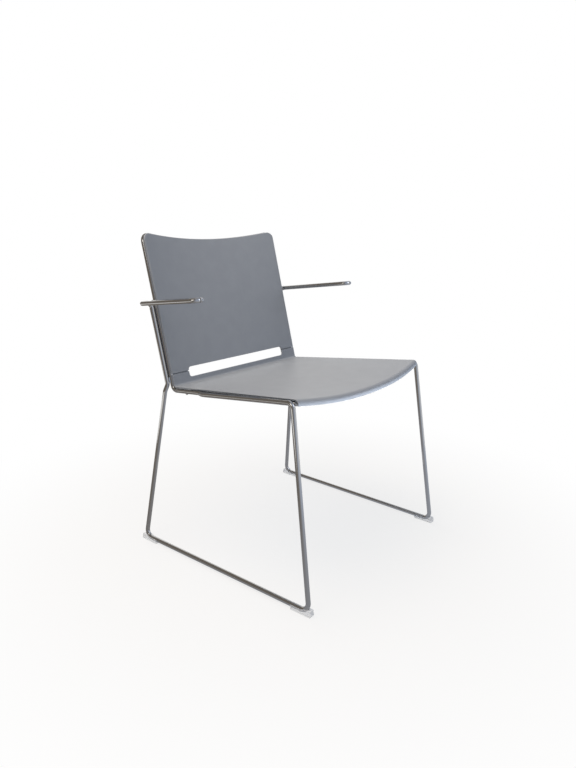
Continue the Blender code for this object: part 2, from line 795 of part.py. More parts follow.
def make_blocks(shop):
    """Blocks welded between the inner and the outer rod, just above the kink."""
    leg_end, foot, joint = outer_corners()[4:7]
    level = (foot - corner_point(LEFT, 0)).dot(BACK_UP)
    level += bend_reach(leg_end, foot, joint, KINK_R)
    seat_end, corner, top = weld_point(LEFT), corner_point(LEFT, 0), corner_point(LEFT, 1)
    level = max(level, bend_reach(seat_end, corner, top, REAR_BEND_R)) + BLOCK_LENGTH / 2
    across = Vector((ROD_PITCH, UPRIGHT_BEHIND, 0))
    across -= BACK_UP * across.dot(BACK_UP)
    for side in (RIGHT, LEFT):
        name = f"upright_block_{SIDE_NAMES[side]}"
        outline = block_outline(across.length)
        block = shop.keep(name, plate(name, [outline], BLOCK_LENGTH), shop.chrome)
        x_axis = mirrored(side, [across.normalized()])[0]
        block.matrix_local = axes_matrix(corner_point(side, level), x_axis,
                                         BACK_UP.cross(x_axis), BACK_UP)


# Glides

def glide_outline(lean):
    """Side view of a glide whose leg stands at an angle, lean, to the rail.

    The first measure runs along the rail from its sharp corner, the second up from the
    rod's centre. The lower side is the sole, and the upper one follows the bend.
    """
    up_leg = Vector((math.cos(lean), math.sin(lean), 0))
    ahead = Vector((-up_leg.y, up_leg.x, 0)) * (ROD_R + TOUCH + GLIDE_SIDE)

    def nose(height):
        return ahead + up_leg * ((height - ahead.y) / up_leg.y)

    bend = FLOOR_BEND_R / math.tan(lean / 2)
    inner = FLOOR_BEND_R - GLIDE_GRIP
    swing = math.acos((FLOOR_BEND_R - GLIDE_RISE) / inner)
    turns = [swing * (1 - step / FILLET_STEPS) for step in range(FILLET_STEPS + 1)]
    upper = [Vector((bend - inner * math.sin(a), FLOOR_BEND_R - inner * math.cos(a), 0))
             for a in turns]
    tail = [Vector((bend + GLIDE_TAIL, height, 0)) for height in (GLIDE_GRIP, -FLOOR_ROD_Z)]
    lower = rounded([tail[1], nose(-FLOOR_ROD_Z), nose(GLIDE_RISE), upper[0]],
                    (GLIDE_CORNER_R, GLIDE_CORNER_R / 2))
    return [(point.x, point.y) for point in lower + upper[1:] + tail[:1]]


def make_glides(shop):
    """Four moulded shoes clipped round the ends of the floor rails, each with a nose."""
    leg_top, front, rear, kink = outer_corners()[1:5]
    up = Vector((0, 0, 1))
    width = 2 * (ROD_R + TOUCH + GLIDE_SIDE)
    for side in (RIGHT, LEFT):
        for end, corner, other, leg in (("front", front, rear, leg_top),
                                        ("rear", rear, front, kink)):
            name = f"glide_{SIDE_NAMES[side]}_{end}"
            along = (other - corner).normalized()
            lean = along.angle(leg - corner)
            outline = plate(name, [glide_outline(lean)], width, GLIDE_CHAMFER)
            glide = shop.keep(name, solid(shop, name, outline), shop.nylon)
            origin, run = mirrored(side, [corner, along])
            glide.matrix_local = axes_matrix(origin, run, up, run.cross(up))
            bend = rounded([leg, corner, other], (FLOOR_BEND_R,))
            bore = swept(name + "_bore", mirrored(side, bend), ROD_D + 2 * TOUCH)
            boolean(glide, shop.guide(name + "_bore", solid(shop, name + "_bore", bore)),
                    "DIFFERENCE")


def centre_chair(shop):
    """Stand the chair so that the origin lies under its middle."""
    graph = bpy.context.evaluated_depsgraph_get()
    stations = []
    for name in ("glide_right_front", "back_hoop"):
        item = shop.parts.objects[name].evaluated_get(graph)
        stations += [(item.matrix_world @ vertex.co).y for vertex in item.to_mesh().vertices]
        item.to_mesh_clear()
    shop.base.location.y = -(min(stations) + max(stations)) / 2


def build():
    """Make the whole chair."""
    clear_scene()
    shop = Workshop()
    make_frame(shop)
    make_blocks(shop)
    make_seat_shell(shop)
    make_back_shell(shop)
    make_lugs(shop, "seat", seat_fixings())
    make_lugs(shop, "back", back_fixings())
    make_screws(shop, "seat", seat_fixings())
    make_screws(shop, "back", back_fixings())
    make_glides(shop)
    centre_chair(shop)


build()
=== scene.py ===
"""Stacking conference chair with arms, dressed for the camera.

The chair faces -Y and stands on Z = 0. Lengths are in metres. The sizes and the rules of
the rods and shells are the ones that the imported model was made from; stations run
rearwards from the front corner of the floor rails.
"""

import math

import bmesh
import bpy
from mathutils import Matrix, Vector


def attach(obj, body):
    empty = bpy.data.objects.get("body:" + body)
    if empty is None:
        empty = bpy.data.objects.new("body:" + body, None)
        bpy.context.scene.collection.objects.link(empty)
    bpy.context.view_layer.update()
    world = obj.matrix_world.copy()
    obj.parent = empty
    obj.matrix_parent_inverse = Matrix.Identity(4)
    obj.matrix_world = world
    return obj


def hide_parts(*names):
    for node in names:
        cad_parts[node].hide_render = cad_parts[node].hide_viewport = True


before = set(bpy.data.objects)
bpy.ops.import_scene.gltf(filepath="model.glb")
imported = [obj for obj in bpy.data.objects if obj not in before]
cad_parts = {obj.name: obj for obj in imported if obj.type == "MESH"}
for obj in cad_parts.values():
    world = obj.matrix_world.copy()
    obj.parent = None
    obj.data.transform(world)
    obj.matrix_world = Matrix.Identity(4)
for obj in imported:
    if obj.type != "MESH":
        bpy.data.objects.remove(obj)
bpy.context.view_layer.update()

# ---------------------------------------------------------------- sizes of the chair

STATION_ZERO = -0.289726
TOUCH = 0.0003
REST_GAP = 0.0005
ROD_D = 0.011
ROD_R = ROD_D / 2
ROD_PITCH = ROD_D + 0.0006

RAIL_LENGTH = 0.531
FRONT_FOOT_HALF = 0.277
REAR_FOOT_HALF = 0.288
FLOOR_BEND_R = 0.018
GLIDE_SOLE = 0.003

LEG_TOP_HALF = 0.2587
LEG_TOP_STATION = 0.0635
LEG_TOP_Z = 0.4526
LEG_BEND_R = 0.013

SEAT_REAR_HALF = 0.2325
SEAT_REAR_STATION = 0.4633
SEAT_REAR_Z = 0.4045
SEAT_FRONT_STATION = 0.0545
SEAT_FRONT_Z = 0.4484
FRONT_BAR_SETBACK = 0.012
FRONT_BEND_R = 0.014
FRONT_BAR_CLEAR = FRONT_BEND_R * 1.5            # the bars' own curves end short of the bends
REAR_BEND_R = 0.015
BUTT_WELD_AHEAD = 0.048
OUTER_RAIL_START = 0.361
GROUND_END = 0.024
GROUND_TIP = 0.4                                # share of the rod left at the ground tip
END_EDGE = 0.28                                 # share of the radius that rolls over an end

RECLINE = math.radians(14.2)
BACK_LENGTH = 0.386
TOP_BEND_R = 0.018
TOP_BAR_CLEAR = TOP_BEND_R * 1.6
TOP_DIP = 0.013
BACK_HOLLOW = 0.030

UPRIGHT_BEHIND = 0.005
KINK_Z = 0.4030
KINK_OUT = 0.0055
KINK_BACK = 0.0083
KINK_HEIGHT = 0.017
KINK_R = 0.012

ARM_REAR_Z = 0.6174
ARM_FRONT_STATION = 0.3023
ARM_FRONT_Z = 0.6437
ARM_WIDTH = 0.030
ARM_SPLAY = 0.128
ARM_BEND_R = 0.0125
ARM_END_GAP = 0.0006

SHELL_WALL = 0.0045
EDGE_OVER = 0.0035
EDGE_ROUND = 0.0012
BACK_RIM_R = 0.00228
SIDE_RIM_REAR = 0.85                            # share of the wall at the seat's side rims
SIDE_RIM_FRONT = 0.45
SEAT_DISH = 0.019
SEAT_BULGE = 0.022
DISH_POWER = 2.2
HOLLOW_POWER = 2.0
CREASE_R = 0.0055
CREASE_CLEAR = CREASE_R * 1.5                   # the pan's rows keep clear of both bends
NOSE_R = 0.0100
NOSE_CLEAR = NOSE_R * 1.35
NOSE_FACE = 0.0045
NOSE_CORNER = 0.0025
LIP_HEIGHT = 0.0298
SEAM_GAP = 0.0017
SEAM_SINK = 0.0005
SLOT_LENGTH = 0.362
SLOT_HEIGHT = 0.025
SLOT_BELOW_SEAM = 0.015
SLOT_CORNER_R = 0.007
SLOT_BLEND = 0.02                               # height in which the slot's line evens out
TONGUE_DOWN = 0.006
TONGUE_UP = 0.007
TONGUE_WALL = 0.0008
TONGUE_INSET = 0.0005
TONGUE_SHORT = 0.0026

LUG_REACH = 0.024
LUG_THICK = 0.003
LUG_LENGTH = 0.030
LUG_DROP = 0.0005
BOSS_D = 0.012
HEAD_D = 0.0098
HEAD_HEIGHT = 0.0028
SCREW_D = 0.005
SCREW_TIP = 0.0045                              # the screw's end above the lug's face
SEAT_LUG_BEHIND_FRONT = 0.0515
SEAT_LUG_AHEAD_REAR = 0.0783
BACK_LUG_ABOVE_SEAM = 0.066
BACK_LUG_BELOW_TOP = 0.071
BOSS_EDGE = 0.0006
BOSS_HOLE_R = SCREW_D / 2 + 0.0004
BOSS_HOLE_DEPTH = 0.002
BOSS_SINK_LOW = 0.002                           # how far bosses run into the shell's wall
BOSS_SINK_HIGH = 0.001
STRETCHER_D = 0.009
STRETCHER_STATION = 0.420
STRETCHER_DROP = 0.0045

LUG_EDGE = 0.0005
SHARP_EDGE = math.radians(50)                   # turns above it get a broken edge
FLAT_EDGE = math.radians(0.5)                   # turns below it are merged into one face
GLIDE_CREASE = math.radians(38)                 # turns above it stay creased on a glide
MERGE_REACH = 1e-6
SAME_PLACE = 1e-7
BEAD_R = 0.0013
BEAD_SPACING = 0.0012
BEAD_SEED = 7
DROP_LEAST, DROP_MOST = (0.62, 0.86, 0.86), (0.78, 1.12, 1.12)  # of BEAD_R; X runs along
LUG_BEADS = ((0.0003, 0.0011), (0.0009, -LUG_THICK - 0.0002))  # (inboard, above the lug)
LUG_BEAD_HALF = LUG_LENGTH * 0.40
RING_SINK = 0.0004                              # how far the stretcher's ring lies inside it
TIP_AHEAD, TIP_SINK = 0.0002, 0.0001            # the arm's ring: before its end, inside it
BEAD_DROP = 0.0030                              # beads between the rods lie below their axes
RAIL_BEAD = (OUTER_RAIL_START, OUTER_RAIL_START - 0.040)
LEG_BEAD = (LEG_TOP_STATION + 0.062, LEG_TOP_STATION + 0.030)
GROOVE_ROD_D = 0.004
GROOVE_FOOT_Z = 0.436
GROOVE_TOP_Z = 0.612

# ---------------------------------------------------------------- fineness

ROD_SIDES = 28
ARC_STEP = math.radians(4)
BAR_STEPS = 48
END_STEPS = 4
GROUND_STEPS = 6
SLOT_COLUMNS = 34
CORNER_COLUMNS = 7
SIDE_COLUMNS = 4
EDGE_COLUMNS = 9
EDGE_CROWD = 0.9                                # the last columns stand closer than the first
LIP_ROWS = 4
SEAT_ROWS = 44
BACK_ROWS = 38
BLEND_ROWS = 5
TOP_BEND_STEPS = 12
TONGUE_COLUMNS = 8
FILLET_STEPS = 9
NOSE_STEPS = 12
RIM_STEPS = 4
RING_STEPS = 20
SCREW_SIDES = 24
BOSS_SIDES = 32
SLOPE_STEP = 0.001                              # half the span that a slope is read over
RIM_SLOPE_STEP = 0.002

RIGHT, LEFT = -1, 1
SIDE_NAMES = {RIGHT: "right", LEFT: "left"}

FLOOR_ROD_Z = ROD_R + GLIDE_SOLE
FACE_OFFSET = ROD_R + REST_GAP + SHELL_WALL
BAR_STATION = SEAT_FRONT_STATION + FRONT_BAR_SETBACK
SEAT_FRONT_HALF = LEG_TOP_HALF - ROD_PITCH
SEAT_PITCH = math.atan((SEAT_FRONT_Z - SEAT_REAR_Z) / (SEAT_REAR_STATION - BAR_STATION))
SEAT_UP = Vector((0, math.sin(SEAT_PITCH), math.cos(SEAT_PITCH)))
BACK_UP = Vector((0, math.sin(RECLINE), math.cos(RECLINE)))
BACK_FACING = Vector((0, -math.cos(RECLINE), math.sin(RECLINE)))


# ---------------------------------------------------------------- rules of the surfaces

def share(value, start, end):
    """How far value lies from start to end, 0 at start and 1 at end."""
    return (value - start) / (end - start)


def rail_half(station):
    """Half the distance between the inner rod's seat rails."""
    along = share(station, SEAT_REAR_STATION, BAR_STATION)
    return SEAT_REAR_HALF + (SEAT_FRONT_HALF - SEAT_REAR_HALF) * along


def rail_z(station):
    """Height of the inner rod's centre along the seat."""
    along = share(station, SEAT_REAR_STATION, BAR_STATION)
    return SEAT_REAR_Z + (SEAT_FRONT_Z - SEAT_REAR_Z) * along


def crown(x, half, power):
    """Fall from the rods, where it is 0, to the middle, where it is 1."""
    return 1 - min(abs(x) / half, 1) ** power


def back_line(level, forward=0.0):
    """Point in the middle plane; level is counted up the back from its rear corner."""
    corner = Vector((0, SEAT_REAR_STATION, SEAT_REAR_Z))
    return corner + BACK_UP * level + BACK_FACING * forward


CREASE = (FACE_OFFSET - (BACK_FACING * FACE_OFFSET).dot(SEAT_UP)) / BACK_UP.dot(SEAT_UP)
SEAM = CREASE + LIP_HEIGHT
BACK_TOP = BACK_LENGTH + EDGE_OVER
CREASE_STATION = back_line(CREASE, FACE_OFFSET).y


def seat_top(x, station):
    """Height of the seat's upper face."""
    edge = rail_z(station) + FACE_OFFSET / math.cos(SEAT_PITCH)
    depth = SEAT_DISH * max(share(station, CREASE_STATION, SEAT_FRONT_STATION), 0)
    return edge - depth * crown(x, rail_half(station), DISH_POWER)


def front_station(x):
    """Station of the seat's front face."""
    return SEAT_FRONT_STATION - SEAT_BULGE * crown(x, SEAT_FRONT_HALF, DISH_POWER)


def hollow_at(level):
    """Depth of the back's hollow in its middle."""
    return BACK_HOLLOW * share(level, SEAM, BACK_TOP)


def back_face(x, level):
    """Point on the front face of the back."""
    depth = hollow_at(level) * crown(x, SEAT_REAR_HALF, HOLLOW_POWER)
    point = back_line(level, FACE_OFFSET - depth)
    point.x = x
    return point


def top_level(x, highest):
    """Level of a top edge that dips towards the middle."""
    return highest - TOP_DIP * crown(x, SEAT_REAR_HALF, HOLLOW_POWER)


# ---------------------------------------------------------------- paths of the rods

def arc_points(before, corner, after, radius, steps):
    """The arc that replaces a sharp corner."""
    entry = (before - corner).normalized()
    leave = (after - corner).normalized()
    turn = math.pi - entry.angle(leave)
    centre = corner + (entry + leave).normalized() * (radius / math.cos(turn / 2))
    first = corner + entry * radius * math.tan(turn / 2) - centre
    axis = first.cross(corner + leave * radius * math.tan(turn / 2) - centre)
    steps = steps or max(2, math.ceil(turn / ARC_STEP))
    return [centre + Matrix.Rotation(turn * step / steps, 3, axis) @ first
            for step in range(steps + 1)]


def rounded(corners, radii):
    """Turn sharp corners into arcs; radii names one radius for each inner corner."""
    path = [corners[0]]
    for before, corner, after, radius in zip(corners, corners[1:], corners[2:], radii):
        path += arc_points(before, corner, after, radius, 0) if radius else [corner]
    path.append(corners[-1])
    return path


def mirrored(side, points):
    """Points drawn for the side at +X, placed on either side."""
    return [Vector((side * point.x, point.y, point.z)) for point in points]


def upright_point(z):
    """Centre of the outer rod's upright at a height."""
    level = (z - SEAT_REAR_Z) / BACK_UP.z
    return back_line(level) + Vector((SEAT_REAR_HALF + ROD_PITCH, UPRIGHT_BEHIND, 0))


def corner_point(side, level):
    """Centre of the inner rod's upright."""
    point = back_line(level)
    point.x = side * SEAT_REAR_HALF
    return point


def weld_point(side):
    """Middle of the butt weld between the two hoops."""
    station = SEAT_REAR_STATION - BUTT_WELD_AHEAD
    return Vector((side * rail_half(station), station, rail_z(station)))


FRONT_FOOT = Vector((FRONT_FOOT_HALF, 0, FLOOR_ROD_Z))
REAR_FOOT = Vector((REAR_FOOT_HALF, RAIL_LENGTH, FLOOR_ROD_Z))
LEG_TOP = Vector((LEG_TOP_HALF, LEG_TOP_STATION, LEG_TOP_Z))
LEG_END = upright_point(KINK_Z) + Vector((KINK_OUT, KINK_BACK, 0))


def outer_rod_path():
    """Outer rod: seat rail, front leg, floor rail, rear leg, upright, arm and back."""
    start = Vector((rail_half(OUTER_RAIL_START) + ROD_PITCH, OUTER_RAIL_START,
                    rail_z(OUTER_RAIL_START)))
    top = upright_point(ARM_REAR_Z)
    outside = top + Vector((ARM_WIDTH, 0, 0))
    run = top.y - ARM_FRONT_STATION
    forward = Vector((ARM_SPLAY * run, -run, ARM_FRONT_Z - ARM_REAR_Z))
    stop = forward.normalized() * (ROD_D + ARM_END_GAP)
    corners = [start, LEG_TOP, FRONT_FOOT, REAR_FOOT, LEG_END,
               upright_point(KINK_Z + KINK_HEIGHT), top, outside, outside + forward,
               top + forward, top + stop]
    radii = (LEG_BEND_R, FLOOR_BEND_R, FLOOR_BEND_R, KINK_R, KINK_R, ARM_BEND_R, ARM_BEND_R,
             ARM_WIDTH / 2, ARM_WIDTH / 2)
    return rounded(corners, radii)


def top_bar_point(x):
    """Centre of the inner rod behind the back's top edge."""
    level = top_level(x, BACK_LENGTH)
    hollow = hollow_at(level)
    reach = min(abs(x) / SEAT_REAR_HALF, 1) ** (HOLLOW_POWER - 1)
    slope = math.atan(HOLLOW_POWER * hollow * reach / SEAT_REAR_HALF)
    depth = hollow * crown(x, SEAT_REAR_HALF, HOLLOW_POWER)
    point = back_line(level, -depth / math.cos(slope))
    point.x = x
    return point


def front_bar_point(x):
    """Centre of the inner rod under the seat's front edge."""
    station = front_station(x) + FRONT_BAR_SETBACK
    step = SLOPE_STEP
    across = Vector((2 * step, 0, seat_top(x + step, station) - seat_top(x - step, station)))
    along = Vector((0, 2 * step, seat_top(x, station + step) - seat_top(x, station - step)))
    down = along.cross(across).normalized()
    return Vector((x, station, seat_top(x, station))) + down * FACE_OFFSET


def inner_rod_path():
    """Inner rod: once round both shells, from one butt weld on."""
    reach = SEAT_REAR_HALF - TOP_BAR_CLEAR
    top_bar = [top_bar_point(reach - 2 * reach * step / BAR_STEPS)
               for step in range(BAR_STEPS + 1)]
    reach = SEAT_FRONT_HALF - FRONT_BAR_CLEAR
    front_bar = [front_bar_point(2 * reach * step / BAR_STEPS - reach)
                 for step in range(BAR_STEPS + 1)]
    front = Vector((SEAT_FRONT_HALF, BAR_STATION, SEAT_FRONT_Z))
    corners = [weld_point(LEFT), corner_point(LEFT, 0), corner_point(LEFT, BACK_LENGTH)]
    corners += top_bar
    corners += [corner_point(RIGHT, BACK_LENGTH), corner_point(RIGHT, 0),
                weld_point(RIGHT), Vector((-front.x, front.y, front.z))]
    corners += front_bar + [front, weld_point(LEFT)]
    radii = [REAR_BEND_R, TOP_BEND_R] + [0] * len(top_bar) + [TOP_BEND_R, REAR_BEND_R, 0]
    radii += [FRONT_BEND_R] + [0] * len(front_bar) + [FRONT_BEND_R]
    return rounded(corners, radii)


# ---------------------------------------------------------------- finishes

def linear(colour):
    """Turn an sRGB hex colour into the linear values that shaders take."""
    channels = [int(colour[i:i + 2], 16) / 255 for i in (0, 2, 4)]
    return (*[c / 12.92 if c <= 0.04045 else ((c + 0.055) / 1.055) ** 2.4
              for c in channels], 1)


def add(tree, kind, links=None, **settings):
    """Add a node with its settings; links gives each input a value or a socket."""
    made = tree.nodes.new(kind)
    for name, value in settings.items():
        setattr(made, name, value)
    for name, value in (links or {}).items():
        if isinstance(value, bpy.types.NodeSocket):
            tree.links.new(value, made.inputs[name])
        else:
            made.inputs[name].default_value = value
    return made


def new_finish(name):
    """Start a material; returns it with its node tree and its shader."""
    material = bpy.data.materials.new(name)
    material.use_nodes = True
    return material, material.node_tree, material.node_tree.nodes["Principled BSDF"]


def chromed_steel():
    """Bright nickel-chrome plate on drawn rod: a clear, slightly warm mirror whose
    reflections run along the rod and waver a little. The waver is 6 mm wide, and the
    haze that dulls it here and there is 11 mm wide."""
    material, tree, shader = new_finish("chromed_steel")
    shader.inputs["Base Color"].default_value = linear("C6C4C1")
    shader.inputs["Metallic"].default_value = 1.0
    place = add(tree, "ShaderNodeTexCoord").outputs["Object"]
    haze = add(tree, "ShaderNodeTexNoise", {"Vector": place, "Scale": 90.0, "Detail": 3.0})
    rough = add(tree, "ShaderNodeMapRange", {"Value": haze.outputs["Fac"], "From Min": 0.3,
                                             "From Max": 0.7, "To Min": 0.06, "To Max": 0.11})
    tree.links.new(rough.outputs["Result"], shader.inputs["Roughness"])
    ripple = add(tree, "ShaderNodeTexNoise", {"Vector": place, "Scale": 160.0, "Detail": 2.0})
    bump = add(tree, "ShaderNodeBump", {"Height": ripple.outputs["Fac"], "Strength": 0.06,
                                        "Distance": 0.00005})
    tree.links.new(bump.outputs["Normal"], shader.inputs["Normal"])
    return material


def zinc_plated_steel():
    """Zinc plate on screws: a duller, cloudy grey with a faint cold mottle, in clouds
    of about 1.5 mm on the 10 mm heads."""
    material, tree, shader = new_finish("zinc_plated_steel")
    shader.inputs["Metallic"].default_value = 1.0
    place = add(tree, "ShaderNodeTexCoord").outputs["Object"]
    cloud = add(tree, "ShaderNodeTexNoise", {"Vector": place, "Scale": 700.0, "Detail": 3.0})
    tone = add(tree, "ShaderNodeMix", {"Factor": cloud.outputs["Fac"], "A": linear("A7A9AC"),
                                       "B": linear("C2C3C1")}, data_type="RGBA")
    tree.links.new(tone.outputs["Result"], shader.inputs["Base Color"])
    rough = add(tree, "ShaderNodeMapRange", {"Value": cloud.outputs["Fac"], "To Min": 0.26,
                                             "To Max": 0.42})
    tree.links.new(rough.outputs["Result"], shader.inputs["Roughness"])
    return material


def moulded_polypropylene():
    """Grey polypropylene from a spark-eroded mould: satin, with a fine pebble grain
    that breaks up the highlights, and a very faint mottle of the pigment. The pebbles
    are about 1 mm wide, coarser than the mould's 0.3 mm, or the picture would lose
    them; the mottle is about 35 mm wide."""
    material, tree, shader = new_finish("moulded_polypropylene")
    shader.inputs["IOR"].default_value = 1.49
    place = add(tree, "ShaderNodeTexCoord").outputs["Object"]
    mottle = add(tree, "ShaderNodeTexNoise", {"Vector": place, "Scale": 28.0, "Detail": 4.0})
    blend = add(tree, "ShaderNodeMapRange", {"Value": mottle.outputs["Fac"], "From Min": 0.35,
                                             "From Max": 0.65})
    tone = add(tree, "ShaderNodeMix", {"Factor": blend.outputs["Result"],
                                       "A": linear("8B9199"), "B": linear("8E949C")},
               data_type="RGBA")
    tree.links.new(tone.outputs["Result"], shader.inputs["Base Color"])
    pebble = add(tree, "ShaderNodeTexVoronoi", {"Vector": place, "Scale": 1100.0},
                 feature="SMOOTH_F1")
    grain = add(tree, "ShaderNodeTexNoise", {"Vector": place, "Scale": 520.0, "Detail": 5.0})
    height = add(tree, "ShaderNodeMath", {0: pebble.outputs["Distance"],
                                          1: grain.outputs["Fac"]}, operation="ADD")
    bump = add(tree, "ShaderNodeBump", {"Height": height.outputs["Value"], "Strength": 0.35,
                                        "Distance": 0.00012})
    tree.links.new(bump.outputs["Normal"], shader.inputs["Normal"])
    rough = add(tree, "ShaderNodeMapRange", {"Value": grain.outputs["Fac"], "To Min": 0.42,
                                             "To Max": 0.54})
    tree.links.new(rough.outputs["Result"], shader.inputs["Roughness"])
    return material


def moulded_nylon():
    """Natural nylon of the glides: milky and evenly see-through, so that the floor and
    the rod show faintly, with the soft gloss of a moulded part that the floor has
    scuffed in marks of 2 to 3 mm."""
    material, tree, shader = new_finish("moulded_nylon")
    shader.inputs["IOR"].default_value = 1.53
    shader.inputs["Alpha"].default_value = 0.42
    place = add(tree, "ShaderNodeTexCoord").outputs["Object"]
    milk = add(tree, "ShaderNodeTexNoise", {"Vector": place, "Scale": 60.0, "Detail": 2.0})
    tone = add(tree, "ShaderNodeMix", {"Factor": milk.outputs["Fac"], "A": linear("D8DEE7"),
                                       "B": linear("E6EBF1")}, data_type="RGBA")
    tree.links.new(tone.outputs["Result"], shader.inputs["Base Color"])
    scuff = add(tree, "ShaderNodeTexNoise", {"Vector": place, "Scale": 420.0, "Detail": 3.0})
    rough = add(tree, "ShaderNodeMapRange", {"Value": scuff.outputs["Fac"], "To Min": 0.28,
                                             "To Max": 0.40})
    tree.links.new(rough.outputs["Result"], shader.inputs["Roughness"])
    return material


CHROME = chromed_steel()
ZINC = zinc_plated_steel()
SHELL = moulded_polypropylene()
NYLON = moulded_nylon()


# ---------------------------------------------------------------- making pieces

def placed(points):
    """Points counted by stations, moved to where the chair stands."""
    return [Vector((point.x, point.y + STATION_ZERO, point.z)) for point in points]


def new_object(name, data):
    """Put a mesh, a lamp or a camera into the scene."""
    made = bpy.data.objects.new(name, data)
    bpy.context.scene.collection.objects.link(made)
    return made


def finished_mesh(name, work):
    """Turn the faces that were worked on into a mesh."""
    mesh = bpy.data.meshes.new(name)
    work.to_mesh(mesh)
    work.free()
    return mesh


def settle(piece, finish, slot, *stands_for):
    """Turn a piece into a plain mesh with its finish, hang it on the root body and hide the
    imported parts that it stands for.
    """
    graph = bpy.context.evaluated_depsgraph_get()
    mesh = bpy.data.meshes.new_from_object(piece.evaluated_get(graph), depsgraph=graph)
    piece.modifiers.clear()
    piece.data = mesh
    mesh.name = piece.name
    mesh.materials.clear()
    mesh.materials.append(finish)
    for face in mesh.polygons:
        face.material_index = 0
    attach(piece, "root")
    if stands_for:
        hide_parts(*stands_for)


def new_rule(name, inputs):
    """Start a geometry node tree with named inputs; returns it and its input node."""
    tree = bpy.data.node_groups.new(name, "GeometryNodeTree")
    tree.interface.new_socket("Geometry", in_out="INPUT", socket_type="NodeSocketGeometry")
    for label, kind in inputs:
        tree.interface.new_socket(label, in_out="INPUT", socket_type="NodeSocket" + kind)
    tree.interface.new_socket("Geometry", in_out="OUTPUT", socket_type="NodeSocketGeometry")
    return tree, add(tree, "NodeGroupInput").outputs


def end_rule(tree, geometry, finish):
    """Close a tree: make instances real, give them the finish and put them out."""
    real = add(tree, "GeometryNodeRealizeInstances", {"Geometry": geometry})
    painted = add(tree, "GeometryNodeSetMaterial", {"Geometry": real.outputs["Geometry"],
                                                    "Material": finish})
    add(tree, "NodeGroupOutput", {"Geometry": painted.outputs["Geometry"]})
    return tree


def apply_rule(piece, tree, values):
    """Give a piece a tree as its modifier, with its inputs set by identifier."""
    rule = piece.modifiers.new(tree.name, "NODES")
    rule.node_group = tree
    for socket in tree.interface.items_tree:
        if socket.in_out == "INPUT" and socket.name in values:
            rule[socket.identifier] = values[socket.name]


def swept_rod_rule():
    """Rule of a rod: a round section swept along the path, thinned by each point's size."""
    tree, inputs = new_rule("swept_rod", (("Radius", "Float"), ("Sides", "Int"),
                                          ("Finish", "Material")))
    path = add(tree, "GeometryNodeMeshToCurve", {"Mesh": inputs["Geometry"]})
    section = add(tree, "GeometryNodeCurvePrimitiveCircle", {"Resolution": inputs["Sides"],
                                                             "Radius": inputs["Radius"]})
    size = add(tree, "GeometryNodeInputNamedAttribute", {"Name": "size"})
    rod = add(tree, "GeometryNodeCurveToMesh", {"Curve": path.outputs["Curve"],
                                                "Profile Curve": section.outputs["Curve"],
                                                "Scale": size.outputs["Attribute"],
                                                "Fill Caps": True})
    smooth = add(tree, "GeometryNodeSetShadeSmooth", {"Geometry": rod.outputs["Mesh"],
                                                      "Shade Smooth": True})
    return end_rule(tree, smooth.outputs["Geometry"], inputs["Finish"])


SWEPT_ROD = swept_rod_rule()


def path_mesh(name, paths):
    """Mesh of open paths; each path is a list of (point, size) pairs, and a closed one
    repeats its first point."""
    points, edges, sizes = [], [], []
    for path in paths:
        first = len(points)
        closed = (path[0][0] - path[-1][0]).length < SAME_PLACE
        body = path[:-1] if closed else path
        points += [point for point, size in body]
        sizes += [size for point, size in body]
        edges += [(first + i, first + i + 1) for i in range(len(body) - 1)]
        if closed:
            edges.append((first + len(body) - 1, first))
    mesh = bpy.data.meshes.new(name)
    mesh.from_pydata(points, edges, [])
    mesh.attributes.new("size", "FLOAT", "POINT").data.foreach_set("value", sizes)
    return mesh


def rounded_end(path, radius, start=False):
    """Give a rod a turned-over end, as a plated one has."""
    points = path[::-1] if start else path
    (last, size), before = points[-1], points[-2][0]
    inward = (before - last).normalized()
    turns = [math.pi / 2 * step / END_STEPS for step in range(END_STEPS + 1)]
    points = points[:-1] + [(last + inward * radius * END_EDGE * (1 - math.sin(turn)),
                             size * (1 - END_EDGE * (1 - math.cos(turn))))
                            for turn in turns]
    return points[::-1] if start else points


def make_rod(name, path, stands_for, diameter=ROD_D):
    """Build one rod piece from (point, size) pairs."""
    moved = [(placed([point])[0], size) for point, size in path]
    piece = new_object(name, path_mesh(name, [moved]))
    apply_rule(piece, SWEPT_ROD, {"Radius": diameter / 2, "Sides": ROD_SIDES,
                                  "Finish": CHROME})
    settle(piece, CHROME, "chromed_steel", *stands_for)


def make_rods():
    """Outer rods, the inner rod and the stretcher."""
    for side in (RIGHT, LEFT):
        path = outer_rod_path()
        start, onward = path[0], (path[1] - path[0]).normalized()
        sized = []
        for step in range(GROUND_STEPS + 1):
            turn = math.pi / 2 * step / GROUND_STEPS
            thin = GROUND_TIP + (1 - GROUND_TIP) * math.sin(turn)
            point = start + onward * GROUND_END * step / GROUND_STEPS
            sized.append((point + Vector((-ROD_R * (1 - thin), 0, 0)), thin))
        sized = rounded_end(sized + [(point, 1.0) for point in path[1:]], ROD_R)
        sized = [(mirrored(side, [point])[0], size) for point, size in sized]
        label = SIDE_NAMES[side]
        make_rod(f"outer_rod_{label}", sized, (f"leg_frame_{label}", f"arm_rod_{label}"))
    make_rod("inner_rod", [(point, 1.0) for point in inner_rod_path()],
             ("back_hoop", "seat_hoop"))
    reach = rail_half(STRETCHER_STATION) - ROD_R - TOUCH
    height = rail_z(STRETCHER_STATION) - STRETCHER_DROP
    ends = [(Vector((side * reach, STRETCHER_STATION, height)), 1.0) for side in (LEFT, RIGHT)]
    make_rod("stretcher_rod", ends, ("rear_stretcher",), STRETCHER_D)


# ---------------------------------------------------------------- shells

